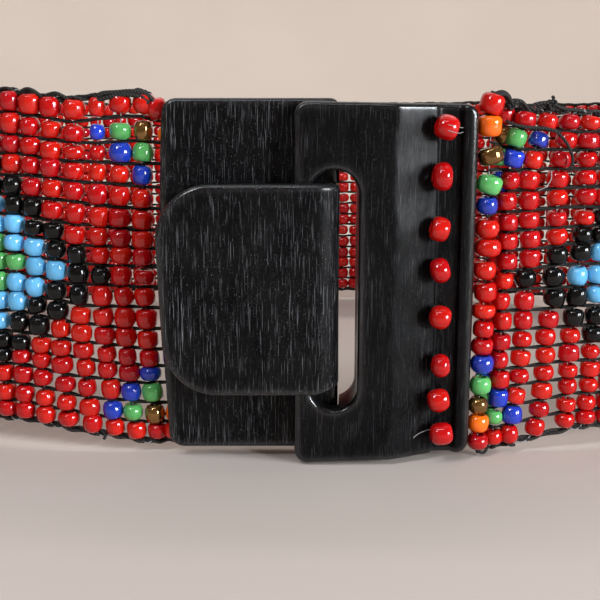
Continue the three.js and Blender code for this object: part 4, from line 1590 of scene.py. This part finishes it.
class BELT_OT_knots(bpy.types.Operator):
    """Ties the knots and lays the loose ends of cord and thread"""
    bl_idname = "belt.knots"
    bl_label = "Knots and tails"

    def execute(self, context):
        scene = context.scene
        band, buckle = scene.belt_band, scene.belt_buckle
        paths = [
            smooth_path(along_band(row["points"], band, buckle), LOOSE_SAMPLES) for row in LOOSE_CORDS]
        widths = [row["width"] for row in LOOSE_CORDS]
        for row in KNOTS:
            paths.append(knot_path(along_band([row["place"]], band, buckle)[0], row["size"]))
            widths.append(KNOT_WIDTH / MM)
        points, blocks, uv = loose_tubes(paths, widths)
        new_piece("knots_and_tails", points, blocks, cord_material(scene.belt_colours), uv=uv)
        paths = [
            smooth_path(along_band(row["points"], band, buckle), LOOSE_SAMPLES) for row in LOOSE_THREADS]
        paths += [smooth_path(np.array(row["points"]) * MM, LOOSE_SAMPLES) for row in ANCHOR_THREADS]
        widths = [row["width"] for row in LOOSE_THREADS + ANCHOR_THREADS]
        points, blocks, uv = loose_tubes(paths, widths)
        new_piece("thread_tails", points, blocks, thread_material(scene.belt_colours), uv=uv)
        return {"FINISHED"}


# Stage
CAMERA_PLACE = (-2.85 * MM, -275.9 * MM, 34.06 * MM)
CAMERA_DOWN = 11.3
CAMERA_LENS = 60.0
FRONT = (0.0, -0.085, 0.0)
DAYLIGHT = (0.90, 0.95, 1.0)
LAMPLIGHT = (1.0, 0.98, 0.95)
LIGHTS = (
    dict(name="Near window", place=(0.63, -0.68, 0.17), width=0.10, height=0.28,
         power=6.8, colour=DAYLIGHT, target=FRONT),
    dict(name="Far window", place=(0.78, -0.48, 0.17), width=0.10, height=0.28,
         power=5.8, colour=DAYLIGHT, target=FRONT),
    dict(name="Upper strip", place=(-0.34, -0.50, 0.52), width=0.07, height=0.18,
         power=1.8, colour=DAYLIGHT, target=FRONT),
    dict(name="Edge strip", place=(-0.10, -0.42, 0.62), width=0.50, height=0.04,
         power=1.0, colour=DAYLIGHT, target=FRONT),
    dict(name="Overhead", place=(0.0, 0.45, 1.30), width=2.2, height=1.8,
         power=8.0, colour=LAMPLIGHT, target=FRONT),
    dict(name="Wall wash", place=(0.0, 0.60, 1.20), width=1.6, height=0.4,
         power=19.0, colour=LAMPLIGHT, target=(0.0, 1.8, 0.2)),
)
WORLD_COLOUR = (1.0, 0.975, 0.945, 1.0)
WORLD_STRENGTH = 0.09
FLOOR_GAP = 0.4 * MM
FLOOR_RADIUS = 1.3
FLOOR_CURVE = 0.5
WALL_HEIGHT = 1.5
FLOOR_SIDES = 96
FLOOR_CURVE_STEPS = 16
FLOOR_RINGS = (0.05, 0.6)


def floor_surface(floor_height):
    """A round floor that turns up through a quarter circle into a low wall, as a profile turned round."""
    sine, rise = quarter(FLOOR_CURVE_STEPS)
    radius = np.concatenate([FLOOR_RINGS, FLOOR_RADIUS + FLOOR_CURVE * sine, [FLOOR_RADIUS + FLOOR_CURVE]])
    height = np.concatenate([[0.0, 0.0], FLOOR_CURVE * rise, [WALL_HEIGHT]]) + floor_height
    turn = np.arange(FLOOR_SIDES) * 2 * math.pi / FLOOR_SIDES
    points = np.stack([
        radius[:, None] * np.cos(turn),
        radius[:, None] * np.sin(turn),
        np.broadcast_to(height[:, None], (len(radius), FLOOR_SIDES)),
    ], axis=-1).reshape(-1, 3)
    quads = grid_quads(len(radius), FLOOR_SIDES, wrap_columns=True)[:, ::-1]
    return points, quads.tolist() + [list(range(FLOOR_SIDES))]


class BELT_OT_stage(bpy.types.Operator):
    """Sets the floor, the soft lights and the camera"""
    bl_idname = "belt.stage"
    bl_label = "Stage"

    def execute(self, context):
        scene = context.scene
        floor_height = SLOT_LOW.z - FLOOR_GAP
        points, faces = floor_surface(floor_height)
        mesh = bpy.data.meshes.new("floor")
        mesh.from_pydata(points.tolist(), [], faces)
        mesh.polygons.foreach_set("use_smooth", np.ones(len(faces), bool))
        mesh.materials.append(floor_material(scene.belt_colours))
        floor = bpy.data.objects.new("floor", mesh)
        scene.collection.objects.link(floor)

        for row in LIGHTS:
            lamp = bpy.data.lights.new(row["name"], "AREA")
            lamp.shape = "RECTANGLE"
            lamp.size = row["width"]
            lamp.size_y = row["height"]
            lamp.energy = row["power"]
            lamp.color = row["colour"]
            stand = bpy.data.objects.new(row["name"], lamp)
            stand.location = row["place"]
            stand.visible_camera = False
            aim = Vector(row["target"]) - stand.location
            stand.rotation_euler = aim.to_track_quat("-Z", "Y").to_euler()
            scene.collection.objects.link(stand)

        world = bpy.data.worlds.new("Studio")
        world.use_nodes = True
        background = world.node_tree.nodes["Background"]
        background.inputs["Color"].default_value = WORLD_COLOUR
        background.inputs["Strength"].default_value = WORLD_STRENGTH
        scene.world = world
        scene.view_settings.view_transform = "Standard"

        camera = bpy.data.objects.new("Camera", bpy.data.cameras.new("Camera"))
        camera.data.lens = CAMERA_LENS
        camera.data.sensor_width = 36.0
        camera.data.clip_start = 0.01
        turn = Matrix.Rotation(math.radians(90 - CAMERA_DOWN), 4, "X")
        camera.matrix_world = Matrix.Translation(CAMERA_PLACE) @ turn
        scene.collection.objects.link(camera)
        scene.camera = camera
        return {"FINISHED"}


STEPS = ("stage", "hook_plate", "slot_plate", "anchor_beads", "band_beads", "cords", "threads", "knots")


class BELT_PT_panel(bpy.types.Panel):
    """Lists the steps that make the belt"""
    bl_idname = "BELT_PT_panel"
    bl_label = "Beaded belt"
    bl_space_type = "VIEW_3D"
    bl_region_type = "UI"
    bl_category = "Belt"

    def draw(self, context):
        for step in STEPS:
            self.layout.operator(f"belt.{step}")
        for settings in (context.scene.belt_band, context.scene.belt_buckle, context.scene.belt_colours):
            box = self.layout.box()
            for key in settings.bl_rna.properties.keys():
                if key not in ("rna_type", "name"):
                    box.prop(settings, key)


CLASSES = (
    BeltBandSettings,
    BeltBuckleSettings,
    BeltColourSettings,
    BELT_OT_stage,
    BELT_OT_hook_plate,
    BELT_OT_slot_plate,
    BELT_OT_anchor_beads,
    BELT_OT_band_beads,
    BELT_OT_cords,
    BELT_OT_threads,
    BELT_OT_knots,
    BELT_PT_panel,
)


def register():
    for cls in CLASSES:
        bpy.utils.register_class(cls)
    bpy.types.Scene.belt_band = PointerProperty(type=BeltBandSettings)
    bpy.types.Scene.belt_buckle = PointerProperty(type=BeltBuckleSettings)
    bpy.types.Scene.belt_colours = PointerProperty(type=BeltColourSettings)


def unregister():
    del bpy.types.Scene.belt_colours
    del bpy.types.Scene.belt_buckle
    del bpy.types.Scene.belt_band
    for cls in reversed(CLASSES):
        bpy.utils.unregister_class(cls)


def main():
    register()
    for step in STEPS:
        getattr(bpy.ops.belt, step)()


if __name__ == "__main__":
    main()
